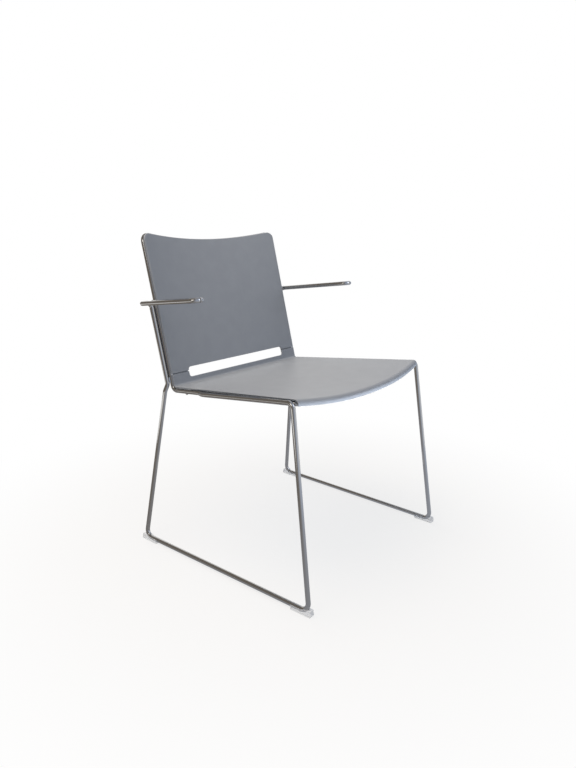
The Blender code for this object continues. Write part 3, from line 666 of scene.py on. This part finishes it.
def border_columns(low, high, outward):
    """Outline of a shell's edge at the seam, right half, as (x, level, base x).

    low is the edge's level in the slot, high its level beside it, and outward says
    whether the edge turns up (+1) or down (-1) beside the slot. base x is where the
    column stands away from the slot.
    """
    half_slot = SLOT_LENGTH / 2
    inner = half_slot - SLOT_CORNER_R
    edge = SEAT_REAR_HALF + EDGE_OVER
    columns = [(inner * i / SLOT_COLUMNS, low) for i in range(SLOT_COLUMNS)]
    for i in range(CORNER_COLUMNS):
        turn = math.pi / 2 * i / CORNER_COLUMNS
        columns.append((inner + SLOT_CORNER_R * math.sin(turn),
                        low + outward * SLOT_CORNER_R * (1 - math.cos(turn))))
    side = low + outward * SLOT_CORNER_R
    columns += [(half_slot, side + (high - side) * i / SIDE_COLUMNS)
                for i in range(SIDE_COLUMNS)]
    columns += [(half_slot + (edge - half_slot) * (i / EDGE_COLUMNS) ** EDGE_CROWD, high)
                for i in range(EDGE_COLUMNS + 1)]
    beyond = len(columns) - SLOT_COLUMNS
    bases = [x for x, level in columns[:SLOT_COLUMNS]]
    bases += [inner + (edge - inner) * i / (beyond - 1) for i in range(beyond)]
    return [(x, level, base) for (x, level), base in zip(columns, bases)]


def both_halves(columns):
    """Mirror the right half's columns to the left."""
    return [(-x, level, -base) for x, level, base in columns[:0:-1]] + columns


def lofted(name, rows, flip):
    """Join rows of points into an open surface."""
    work = bmesh.new()
    grid = [[work.verts.new(point) for point in row] for row in rows]
    for low, high in zip(grid, grid[1:]):
        for i in range(len(low) - 1):
            quad = [low[i], low[i + 1], high[i + 1], high[i]]
            work.faces.new(quad[::-1] if flip else quad)
    mesh = finished_mesh(name, work)
    mesh.shade_smooth()
    return mesh


def walled(piece, shares=None):
    """Give an open surface its wall, behind the face that shows, and round its rim.

    shares, where it is given, holds every point's share of the full wall.
    """
    wall = piece.modifiers.new("wall", "SOLIDIFY")
    wall.thickness = SHELL_WALL
    if shares:
        group = piece.vertex_groups.new(name="wall_share")
        for index, part in enumerate(shares):
            group.add([index], part, "REPLACE")
        wall.vertex_group = group.name
    wall.offset = -1
    wall.use_even_offset = True
    rim = piece.modifiers.new("rim", "BEVEL")
    rim.width = EDGE_ROUND
    rim.segments = RIM_STEPS
    rim.limit_method = "ANGLE"
    rim.angle_limit = SHARP_EDGE
    rim.harden_normals = True


def seat_column(x, level, base):
    """All the points of one column of the seat's upper face, from the lip to the nose."""
    ratio = base / SEAT_REAR_HALF

    def x_at(station):
        if abs(ratio) > 1:
            return math.copysign(rail_half(station) + abs(base) - SEAT_REAR_HALF, ratio)
        return ratio * rail_half(station)

    crease = back_line(CREASE, FACE_OFFSET)
    crease.x = x_at(SEAT_REAR_STATION)
    nose_x = x_at(SEAT_FRONT_STATION)
    nose_y = front_station(nose_x)
    run = []
    first, last = CREASE_STATION - CREASE_CLEAR, nose_y + NOSE_CLEAR
    for row in range(SEAT_ROWS + 1):
        station = first + (last - first) * row / SEAT_ROWS
        run.append(Vector((x_at(station), station, seat_top(x_at(station), station))))
    nose = Vector((nose_x, nose_y, seat_top(nose_x, nose_y)))
    lip_top = Vector(crease) + BACK_UP * LIP_HEIGHT
    fillet = arc_points(lip_top, crease, run[0], CREASE_R, FILLET_STEPS)
    foot = (fillet[0] - back_line(0, FACE_OFFSET)).dot(BACK_UP)
    points = []
    for step in range(LIP_ROWS):
        along = step / LIP_ROWS
        point = back_line(level + (foot - level) * along, FACE_OFFSET)
        point.x = x + (crease.x - x) * along
        points.append(point)
    points += fillet + run
    down = Vector((0, 0, -1))
    points += arc_points(run[-1], nose, nose + down, NOSE_R, NOSE_STEPS)
    start = points[-1]
    inset = Vector((-NOSE_CORNER * ratio, 0, 0))
    points.append(start + down * (NOSE_FACE - NOSE_CORNER))
    points.append(start + down * NOSE_FACE + inset)
    return points


def make_seat_shell():
    """Seat: dished pan, turned-down nose and a lip that meets the back."""
    columns = both_halves(border_columns(SEAM - SLOT_BELOW_SEAM, SEAM - SEAM_SINK, 1))
    sections = [placed(seat_column(*column)) for column in columns]
    rows = [list(row) for row in zip(*sections)]
    piece = new_object("seat_moulding", lofted("seat_moulding", rows, True))
    shares = []
    for row in range(len(rows)):
        thin = SIDE_RIM_REAR + (SIDE_RIM_FRONT - SIDE_RIM_REAR) * min(row / SEAT_ROWS, 1)
        shares += [thin] + [1.0] * (len(columns) - 2) + [thin]
    walled(piece, shares)
    settle(piece, SHELL, "moulded_polypropylene", "seat_shell")


def make_tongues():
    """Tongues on the seat's lip that close the seam from behind, beside the slot."""
    inner = SLOT_LENGTH / 2 + TONGUE_INSET
    outer = SEAT_REAR_HALF - TONGUE_SHORT
    for side in (RIGHT, LEFT):
        rows = []
        for level in (SEAM - TONGUE_DOWN, SEAM + TONGUE_UP):
            row = []
            for i in range(TONGUE_COLUMNS + 1):
                row.append(back_line(level, FACE_OFFSET - SHELL_WALL - TOUCH))
                row[-1].x = side * inner + side * (outer - inner) * i / TONGUE_COLUMNS
            rows.append(placed(row))
        piece = new_object(f"seam_tongue_{SIDE_NAMES[side]}",
                           lofted("seam_tongue", rows, side == LEFT))
        wall = piece.modifiers.new("wall", "SOLIDIFY")
        wall.thickness = TONGUE_WALL
        wall.offset = -1
        settle(piece, SHELL, "moulded_polypropylene")


def make_back_rim(edge):
    """Full-round rim along the back's sides and top, at the middle of its wall.

    edge lists the (x, level) places where the back's face stops.
    """
    line = []
    for x, level in edge:
        across = back_face(x + RIM_SLOPE_STEP, level) - back_face(x - RIM_SLOPE_STEP, level)
        face = BACK_UP.cross(across).normalized()
        face *= math.copysign(1, face.dot(BACK_FACING))
        line.append(back_face(x, level) - face * SHELL_WALL / 2)
    path = [(point, 1.0) for point in placed(line)]
    piece = new_object("back_rim", path_mesh("back_rim", [path]))
    apply_rule(piece, SWEPT_ROD, {"Radius": BACK_RIM_R, "Sides": ROD_SIDES, "Finish": SHELL})
    settle(piece, SHELL, "moulded_polypropylene")


def make_back_shell():
    """Back: hollow across, with a dipped top edge, round top corners and a round rim.

    The grid holds (x, level) places: a few rows that even out the slot's line, then
    rows up to the top corners and round them. The rim's width is kept free at the
    sides and the top.
    """
    outer = SEAT_REAR_HALF + EDGE_OVER
    half = outer - BACK_RIM_R
    radius = TOP_BEND_R + EDGE_OVER - BACK_RIM_R
    top = BACK_TOP - BACK_RIM_R
    bottom = SEAM + SEAM_GAP
    slot_top = SEAM - SLOT_BELOW_SEAM + SLOT_HEIGHT
    columns = both_halves(border_columns(slot_top, bottom, -1))
    clear = slot_top + SLOT_BLEND
    levels = [(clear + (top - radius - clear) * row / BACK_ROWS, half)
              for row in range(BACK_ROWS)]
    for step in range(TOP_BEND_STEPS + 1):
        angle = math.pi / 2 * step / TOP_BEND_STEPS
        levels.append((top - radius + radius * math.sin(angle),
                       half - radius * (1 - math.cos(angle))))
    grid = []
    for step in range(BLEND_ROWS):
        along = step / BLEND_ROWS
        row = []
        for x, level, base in columns:
            across = x + (base - x) * along
            trim = BACK_RIM_R * max(0, share(abs(across), SLOT_LENGTH / 2, outer))
            row.append((across - math.copysign(trim, across), level + (clear - level) * along))
        grid.append(row)
    for level, width in levels:
        row = []
        for _, _, base in columns:
            across = base * width / outer
            along = share(level, clear, top)
            row.append((across, clear + along * (top_level(across, top) - clear)))
        grid.append(row)
    rows = [placed([back_face(*spot) for spot in row]) for row in grid]
    piece = new_object("back_moulding", lofted("back_moulding", rows, False))
    walled(piece)
    settle(piece, SHELL, "moulded_polypropylene", "back_shell")
    edge = [row[0] for row in grid] + grid[-1][1:-1] + [row[-1] for row in grid[::-1]]
    make_back_rim(edge)


# ---------------------------------------------------------------- fixings

def seat_fixings():
    """Seat lugs: middle of the face under the boss, way to the shell, its height, way out."""
    places = []
    for side in (RIGHT, LEFT):
        for station in (BAR_STATION + SEAT_LUG_BEHIND_FRONT,
                        SEAT_REAR_STATION - SEAT_LUG_AHEAD_REAR):
            rail = Vector((side * rail_half(station), station, rail_z(station)))
            outward = (rail - weld_point(side)).cross(SEAT_UP).normalized()
            outward *= math.copysign(1, outward.x * side)
            face = rail - outward * (ROD_R + TOUCH + LUG_REACH / 2) - SEAT_UP * LUG_DROP
            top = Vector((face.x, face.y, seat_top(face.x, face.y)))
            places.append((face, SEAT_UP, (top - face).dot(SEAT_UP), outward))
    return places


def back_fixings():
    """Back lugs, given as the seat's are."""
    places = []
    for side in (RIGHT, LEFT):
        for level in (SEAM + BACK_LUG_ABOVE_SEAM, BACK_LENGTH - BACK_LUG_BELOW_TOP):
            face = back_line(level, -LUG_DROP)
            face.x = side * (SEAT_REAR_HALF - ROD_R - TOUCH - LUG_REACH / 2)
            height = (back_face(face.x, level) - face).dot(BACK_FACING)
            places.append((face, BACK_FACING, height, Vector((side, 0, 0))))
    return places


def turned(name, profile, steps):
    """Closed solid of revolution round Z; the profile starts and ends on the axis."""
    work = bmesh.new()
    rings = []
    for radius, height in profile:
        if radius == 0:
            rings.append([work.verts.new((0, 0, height))])
            continue
        rings.append([work.verts.new((radius * math.cos(math.tau * i / steps),
                                      radius * math.sin(math.tau * i / steps), height))
                      for i in range(steps)])
    for below, above in zip(rings, rings[1:]):
        for i in range(steps):
            k = (i + 1) % steps
            ring = [below[i % len(below)], below[k % len(below)], above[k % len(above)],
                    above[i % len(above)]]
            work.faces.new(list(dict.fromkeys(ring)))
    bmesh.ops.recalc_face_normals(work, faces=work.faces)
    mesh = finished_mesh(name, work)
    mesh.shade_smooth()
    return mesh


def place_mesh(name, places):
    """Mesh of bare points that carry the turn of what stands on them."""
    mesh = bpy.data.meshes.new(name)
    mesh.from_pydata(placed([place[0] for place in places]), [], [])
    for label, index in (("towards", 1), ("outward", 3)):
        values = [value for place in places for value in place[index]]
        mesh.attributes.new(label, "FLOAT_VECTOR", "POINT").data.foreach_set("vector", values)
    return mesh


def repeated_rule():
    """Rule of what stands on places: one model copied to each point and turned to it."""
    tree, inputs = new_rule("repeated", (("Model", "Object"), ("Finish", "Material")))
    model = add(tree, "GeometryNodeObjectInfo", {"Object": inputs["Model"]})
    towards = add(tree, "GeometryNodeInputNamedAttribute", {"Name": "towards"},
                  data_type="FLOAT_VECTOR")
    outward = add(tree, "GeometryNodeInputNamedAttribute", {"Name": "outward"},
                  data_type="FLOAT_VECTOR")
    turn = add(tree, "FunctionNodeAxesToRotation",
               {"Primary Axis": towards.outputs["Attribute"],
                "Secondary Axis": outward.outputs["Attribute"]})
    copies = add(tree, "GeometryNodeInstanceOnPoints",
                 {"Points": inputs["Geometry"], "Instance": model.outputs["Geometry"],
                  "Rotation": turn.outputs["Rotation"]})
    return end_rule(tree, copies.outputs["Instances"], inputs["Finish"])


REPEATED = repeated_rule()


def repeat(name, model, places, finish, slot, *stands_for):
    """Stand a copy of a model on each place, as one piece."""
    pattern = new_object(name + "_pattern", model)
    piece = new_object(name, place_mesh(name, places))
    apply_rule(piece, REPEATED, {"Model": pattern, "Finish": finish})
    settle(piece, finish, slot, *stands_for)
    bpy.data.objects.remove(pattern)


def make_fixings():
    """Screws and bosses; the lugs stay as they come."""
    places = seat_fixings() + back_fixings()
    head = HEAD_D / 2
    under = -LUG_THICK - TOUCH
    screw = turned("pan_head_screw", [
        (0, SCREW_TIP), (SCREW_D / 2, SCREW_TIP), (SCREW_D / 2, under), (head, under),
        (head, under - HEAD_HEIGHT * 0.35), (head * 0.92, under - HEAD_HEIGHT * 0.62),
        (head * 0.72, under - HEAD_HEIGHT * 0.87), (head * 0.45, under - HEAD_HEIGHT),
        (head * 0.40, under - HEAD_HEIGHT * 0.96), (head * 0.38, under - HEAD_HEIGHT * 0.45),
        (0, under - HEAD_HEIGHT * 0.38)], SCREW_SIDES)
    repeat("shell_screws", screw, places, ZINC, "zinc_plated_steel",
           *[f"{kind}_screw_{number}" for kind in ("seat", "back") for number in range(1, 5)])
    radius = BOSS_D / 2
    for kind, spots in (("seat", seat_fixings()), ("back", back_fixings())):
        heights = [height - SHELL_WALL for face, towards, height, outward in spots]
        top = min(heights) + BOSS_SINK_LOW
        boss = turned(f"{kind}_boss", [
            (0, top), (radius, max(top, max(heights) + BOSS_SINK_HIGH)),
            (radius, TOUCH + BOSS_EDGE), (radius - BOSS_EDGE, TOUCH), (BOSS_HOLE_R, TOUCH),
            (BOSS_HOLE_R, TOUCH + BOSS_HOLE_DEPTH), (0, TOUCH + BOSS_HOLE_DEPTH)],
            BOSS_SIDES)
        repeat(f"{kind}_bosses", boss, spots, SHELL, "moulded_polypropylene")


def softened(node, finish, slot, edge_radius):
    """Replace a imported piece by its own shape, finished.

    With an edge radius its edges are broken and its flats stay flat; without one its
    facets are merged and shaded as curves.
    """
    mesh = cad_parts[node].data.copy()
    work = bmesh.new()
    work.from_mesh(mesh)
    bmesh.ops.remove_doubles(work, verts=work.verts, dist=MERGE_REACH)
    if not edge_radius:
        bmesh.ops.dissolve_limit(work, angle_limit=FLAT_EDGE, verts=work.verts,
                                 edges=work.edges)
    work.to_mesh(mesh)
    work.free()
    mesh.shade_smooth()
    piece = new_object(f"{node}_finished", mesh)
    if edge_radius:
        broken = piece.modifiers.new("edges", "BEVEL")
        broken.width = edge_radius
        broken.segments = 2
        broken.limit_method = "ANGLE"
        broken.angle_limit = SHARP_EDGE
        flats = piece.modifiers.new("flats", "WEIGHTED_NORMAL")
        flats.mode = "FACE_AREA"
        flats.weight = 100
    else:
        mesh.set_sharp_from_angle(angle=GLIDE_CREASE)
    settle(piece, finish, slot, node)


def make_small_plates():
    """Lugs, blocks and glides, with the broken edges that the real ones have."""
    for side in SIDE_NAMES.values():
        for place in ("seat_lug_{}_front", "seat_lug_{}_rear", "back_lug_{}_lower",
                      "back_lug_{}_upper"):
            softened(place.format(side), CHROME, "chromed_steel", LUG_EDGE)
        softened(f"upright_block_{side}", CHROME, "chromed_steel", LUG_EDGE)
        for end in ("front", "rear"):
            softened(f"glide_{side}_{end}", NYLON, "moulded_nylon", 0)


# ---------------------------------------------------------------- welds

def weld_bead_rule():
    """Rule of a weld: overlapping drops along a path, each a little off in size."""
    tree, inputs = new_rule("weld_bead", (("Radius", "Float"), ("Spacing", "Float"),
                                          ("Seed", "Int"), ("Finish", "Material")))
    path = add(tree, "GeometryNodeMeshToCurve", {"Mesh": inputs["Geometry"]})
    spots = add(tree, "GeometryNodeResampleCurve", {"Curve": path.outputs["Curve"],
                                                    "Length": inputs["Spacing"]},
                mode="LENGTH")
    drop = add(tree, "GeometryNodeMeshIcoSphere", {"Radius": inputs["Radius"],
                                                   "Subdivisions": 2})
    size = add(tree, "FunctionNodeRandomValue", {"Min": DROP_LEAST, "Max": DROP_MOST,
                                                 "Seed": inputs["Seed"]},
               data_type="FLOAT_VECTOR")
    along = add(tree, "GeometryNodeInputTangent")
    turn = add(tree, "FunctionNodeAlignRotationToVector",
               {"Vector": along.outputs["Tangent"]}, axis="X")
    drops = add(tree, "GeometryNodeInstanceOnPoints",
                {"Points": spots.outputs["Curve"], "Instance": drop.outputs["Mesh"],
                 "Rotation": turn.outputs["Rotation"], "Scale": size.outputs["Value"]})
    smooth = add(tree, "GeometryNodeSetShadeSmooth", {"Geometry": drops.outputs["Instances"],
                                                      "Shade Smooth": True})
    return end_rule(tree, smooth.outputs["Geometry"], inputs["Finish"])


def lug_weld_paths():
    """Two beads on each lug, above and below the line where it meets the rod."""
    paths = []
    for face, towards, height, outward in seat_fixings() + back_fixings():
        along = towards.cross(outward).normalized() * LUG_BEAD_HALF
        for inboard, level in LUG_BEADS:
            middle = face + outward * (LUG_REACH / 2 - inboard) + towards * level
            paths.append([middle - along, middle, middle + along])
    return paths


def ring_path(centre, axis, radius):
    """Closed ring round an axis."""
    across = axis.orthogonal().normalized()
    return [centre + Matrix.Rotation(math.tau * i / RING_STEPS, 3, axis) @ across * radius
            for i in range(RING_STEPS + 1)]


def rod_weld_paths():
    """Beads round the stretcher's ends and the arms' ends, and between the two rods."""
    paths = []
    reach = rail_half(STRETCHER_STATION) - ROD_R
    height = rail_z(STRETCHER_STATION) - STRETCHER_DROP
    arm = outer_rod_path()
    for side in (RIGHT, LEFT):
        end = Vector((side * reach, STRETCHER_STATION, height))
        paths.append(ring_path(end, Vector((1, 0, 0)), STRETCHER_D / 2 - RING_SINK))
        tip, inward = arm[-1], (arm[-2] - arm[-1]).normalized()
        ring = ring_path(tip + inward * TIP_AHEAD, inward, ROD_R - TIP_SINK)
        paths.append(mirrored(side, ring))
        for bead in (RAIL_BEAD, LEG_BEAD):
            line = [Vector((rail_half(station) + ROD_PITCH / 2, station,
                            rail_z(station) - BEAD_DROP)) for station in bead]
            paths.append(mirrored(side, line))
    return paths


def make_welds():
    """All the welds, plated with the frame."""
    rule = weld_bead_rule()
    for name, paths in (("lug_welds", lug_weld_paths()), ("rod_welds", rod_weld_paths())):
        beads = [[(point, 1.0) for point in placed(path)] for path in paths]
        piece = new_object(name, path_mesh(name, beads))
        apply_rule(piece, rule, {"Radius": BEAD_R, "Spacing": BEAD_SPACING,
                                 "Seed": BEAD_SEED, "Finish": CHROME})
        settle(piece, CHROME, "chromed_steel")


def make_groove_rods():
    """Thin filler in the groove where the arm's upright is brazed to the inner rod."""
    for side in (RIGHT, LEFT):
        line = []
        for z in (GROOVE_FOOT_Z, GROOVE_TOP_Z):
            level = (z - SEAT_REAR_Z) / BACK_UP.z
            inner, outer = corner_point(LEFT, level), upright_point(z)
            between = outer - inner
            behind = BACK_UP.cross(between).normalized()
            behind *= math.copysign(1, behind.y)
            away = math.sqrt((ROD_R + GROOVE_ROD_D / 2) ** 2 - (between.length / 2) ** 2)
            line.append((inner + between / 2 + behind * away, 1.0))
        line = rounded_end(rounded_end(line, GROOVE_ROD_D / 2), GROOVE_ROD_D / 2, True)
        line = [(mirrored(side, [point])[0], size) for point, size in line]
        make_rod(f"groove_rod_{SIDE_NAMES[side]}", line, (), GROOVE_ROD_D)


# ---------------------------------------------------------------- the whole chair

make_rods()
make_seat_shell()
make_tongues()
make_back_shell()
make_fixings()
make_small_plates()
make_groove_rods()
make_welds()

# ---------------------------------------------------------------- stage, light, camera

FLOOR_REACH = 12.0
ROOM_STEP = 6                                   # degrees from one corner to the next
# Each part of the glowing room of painted reflections: its profile as (distance, height), and
# the spans that it fills, in degrees from +Y towards +X. The rest is open towards the white
# studio.
ROOM_PARTS = (
    (((0.05, 0.0002), (1.6, 0.0002)), ((0, 360),)),
    (((1.6, 0.0002), (3.2, 0.0002)), ((-195, -100), (12, 135))),
    (((3.2, 0.0002), (3.2, 2.8)), ((-195, 12), (72, 135))),
    (((3.2, 2.8), (0.25, 3.0)), ((0, 360),)),
)
# Colours of the painted reflections: the warm ends are painted shade, the cool ends painted
# window light.
REFLECTED_FLOOR_SHADE, REFLECTED_FLOOR_WINDOW_LIGHT = "837E79", "C0C9DA"
REFLECTED_WALL_SHADE, REFLECTED_WALL_WINDOW_LIGHT = "7B756F", "AEB8CB"

# name, place, the point it looks at, width, watts, colour, whether the metal mirrors it
LAMPS = (
    ("overhead", (-0.6, 0.35, 2.5), (0, 0, 0.4), 1.8, 62, "FFF0DE", False),
    ("window", (1.1, -1.9, 2.1), (0, -0.1, 0.45), 1.4, 12, "DEE9FF", True),
    ("low_front", (-0.08, -0.56, 0.02), (-0.08, -0.56, 1.0), 0.24, 10, "F0F3F9", False),
    ("side_window", (-1.7, -0.35, 1.7), (0, 0, 0.35), 0.9, 4.5, "F4F2EE", True),
    ("rear_fill", (0.7, 2.6, 1.3), (0, 0.1, 0.5), 1.4, 26, "F4F6FA", False),
)

SENSOR_WIDTH = 36                               # millimetres, over the picture's longer side
CAMERA_LENS = 605 * SENSOR_WIDTH / 768          # focal length 605 px, picture 768 px high
CAMERA_PLACE = (-1.1700, -0.9642, 0.7963)
CAMERA_TURN = (50.538, -14.507, 0.316)          # degrees: yaw, pitch, roll


def pale_floor():
    """Plain pale floor: white to the camera and the metal, apart from the shadow, and
    wholly white away from the chair."""
    material, tree, shader = new_finish("pale_floor")
    shader.inputs["Base Color"].default_value = linear("CDCDCD")
    shader.inputs["Roughness"].default_value = 0.9
    output = tree.nodes["Material Output"]
    white = add(tree, "ShaderNodeEmission", {"Color": (1, 1, 1, 1), "Strength": 1.0})
    rays = add(tree, "ShaderNodeLightPath")
    metal = add(tree, "ShaderNodeMath", {0: rays.outputs["Is Glossy Ray"],
                                         1: rays.outputs["Is Transmission Ray"]},
                operation="MAXIMUM")
    place = add(tree, "ShaderNodeTexCoord").outputs["Object"]
    away = add(tree, "ShaderNodeVectorMath", {0: place}, operation="LENGTH")
    fade = add(tree, "ShaderNodeMapRange", {"Value": away.outputs["Value"],
                                            "From Min": 0.3, "From Max": 1.1,
                                            "To Min": 0.78, "To Max": 1.0},
               interpolation_type="SMOOTHSTEP")
    camera = add(tree, "ShaderNodeMath", {0: rays.outputs["Is Camera Ray"],
                                          1: fade.outputs["Result"]}, operation="MULTIPLY")
    seen = add(tree, "ShaderNodeMath", {0: camera.outputs["Value"],
                                        1: metal.outputs["Value"]}, operation="MAXIMUM")
    mix = add(tree, "ShaderNodeMixShader", {0: seen.outputs["Value"],
                                            1: shader.outputs["BSDF"],
                                            2: white.outputs["Emission"]})
    tree.links.new(mix.outputs["Shader"], output.inputs["Surface"])
    return material


def make_stage():
    """Floor under the chair."""
    mesh = bpy.data.meshes.new("floor")
    corners = [(across * FLOOR_REACH, along * FLOOR_REACH, 0)
               for across, along in ((-1, -1), (1, -1), (1, 1), (-1, 1))]
    mesh.from_pydata(corners, [], [(0, 1, 2, 3)])
    mesh.materials.append(pale_floor())
    new_object("floor", mesh)


def make_world():
    """Soft room light, and plain white for what the camera and the metal see."""
    world = bpy.data.worlds.new("studio")
    bpy.context.scene.world = world
    world.use_nodes = True
    tree = world.node_tree
    light = tree.nodes["Background"]
    light.inputs["Color"].default_value = linear("EDF1FA")
    light.inputs["Strength"].default_value = 0.25
    white = add(tree, "ShaderNodeBackground", {"Color": (1, 1, 1, 1), "Strength": 1.0})
    rays = add(tree, "ShaderNodeLightPath")
    camera_or_gloss = add(tree, "ShaderNodeMath", {0: rays.outputs["Is Camera Ray"],
                                                   1: rays.outputs["Is Glossy Ray"]},
                          operation="MAXIMUM")
    seen = add(tree, "ShaderNodeMath", {0: camera_or_gloss.outputs["Value"],
                                        1: rays.outputs["Is Transmission Ray"]},
               operation="MAXIMUM")
    mix = add(tree, "ShaderNodeMixShader", {0: seen.outputs["Value"],
                                            1: light.outputs["Background"],
                                            2: white.outputs["Background"]})
    tree.links.new(mix.outputs["Shader"], tree.nodes["World Output"].inputs["Surface"])


def dim_room():
    """Painted reflection that the metal mirrors behind the photographer: a glowing room in
    painted shade, warm and darker to the chair's right and rear, and in painted window light,
    cooler and lighter towards its front left."""
    material, tree, _ = new_finish("dim_room")
    place = add(tree, "ShaderNodeTexCoord").outputs["Object"]
    part = add(tree, "ShaderNodeSeparateXYZ", {"Vector": place}).outputs
    across = add(tree, "ShaderNodeMath", {0: part["X"], 1: part["Y"]}, operation="SUBTRACT")
    # painted light: the share from the painted shade at the chair's right and rear to the
    # painted window light at its front left
    turn = add(tree, "ShaderNodeMapRange", {"Value": across.outputs["Value"], "From Min": -0.9,
                                            "From Max": 1.4})
    rise = add(tree, "ShaderNodeMapRange", {"Value": part["Z"], "From Min": 0.0,
                                            "From Max": 0.5})
    floor = add(tree, "ShaderNodeMix", {"Factor": turn.outputs["Result"],
                                        "A": linear(REFLECTED_FLOOR_SHADE),
                                        "B": linear(REFLECTED_FLOOR_WINDOW_LIGHT)}, data_type="RGBA")
    wall = add(tree, "ShaderNodeMix", {"Factor": turn.outputs["Result"],
                                       "A": linear(REFLECTED_WALL_SHADE),
                                       "B": linear(REFLECTED_WALL_WINDOW_LIGHT)}, data_type="RGBA")
    tone = add(tree, "ShaderNodeMix", {"Factor": rise.outputs["Result"],
                                       "A": floor.outputs["Result"],
                                       "B": wall.outputs["Result"]}, data_type="RGBA")
    # the room glows with its painted reflection, though it is no lamp
    glow = add(tree, "ShaderNodeEmission", {"Color": tone.outputs["Result"], "Strength": 1.0})
    tree.links.new(glow.outputs["Emission"], tree.nodes["Material Output"].inputs["Surface"])
    return material


def make_room():
    """The glowing room of painted reflections, which only the metal's gloss sees: floor, walls
    and ceiling. Its openings are where the white studio shows."""
    work = bmesh.new()
    for profile, spans in ROOM_PARTS:
        for start, end in spans:
            steps = max(2, round((end - start) / ROOM_STEP))
            rings = []
            for reach, height in profile:
                turns = [math.radians(start + (end - start) * step / steps)
                         for step in range(steps + 1)]
                rings.append([work.verts.new((reach * math.sin(turn), reach * math.cos(turn),
                                              height)) for turn in turns])
            for low, high in zip(rings, rings[1:]):
                for i in range(steps):
                    work.faces.new((low[i], low[i + 1], high[i + 1], high[i]))
    mesh = finished_mesh("dim_room", work)
    mesh.materials.append(dim_room())
    room = new_object("dim_room", mesh)
    room.visible_camera = room.visible_diffuse = room.visible_shadow = False
    room.visible_transmission = False


def make_lamp(name, place, aim, width, power, colour, mirrored_in_metal):
    """Large soft lamp that looks at a point."""
    data = bpy.data.lights.new(name, "AREA")
    data.shape = "SQUARE"
    data.size = width
    data.energy = power
    data.color = linear(colour)[:3]
    lamp = new_object(name, data)
    lamp.location = place
    lamp.rotation_mode = "QUATERNION"
    lamp.rotation_quaternion = (Vector(aim) - Vector(place)).to_track_quat("-Z", "Y")
    lamp.visible_glossy = mirrored_in_metal
    lamp.visible_camera = False


def make_camera():
    """Camera where the photographer stood: before the chair's front right corner."""
    data = bpy.data.cameras.new("camera")
    data.sensor_width = SENSOR_WIDTH
    data.lens = CAMERA_LENS
    camera = new_object("camera", data)
    yaw, pitch, roll = (math.radians(angle) for angle in CAMERA_TURN)
    ahead = Vector((math.sin(yaw) * math.cos(pitch), math.cos(yaw) * math.cos(pitch),
                    math.sin(pitch)))
    right = Vector((math.cos(yaw), -math.sin(yaw), 0))
    up = right.cross(ahead)
    level_right = right * math.cos(roll) + up * math.sin(roll)
    level_up = up * math.cos(roll) - right * math.sin(roll)
    turn = Matrix((level_right, level_up, -ahead)).transposed().to_4x4()
    camera.matrix_world = Matrix.Translation(CAMERA_PLACE) @ turn
    bpy.context.scene.camera = camera


make_stage()
make_world()
make_room()
for lamp in LAMPS:
    make_lamp(*lamp)
make_camera()
bpy.context.scene.view_settings.view_transform = "Standard"
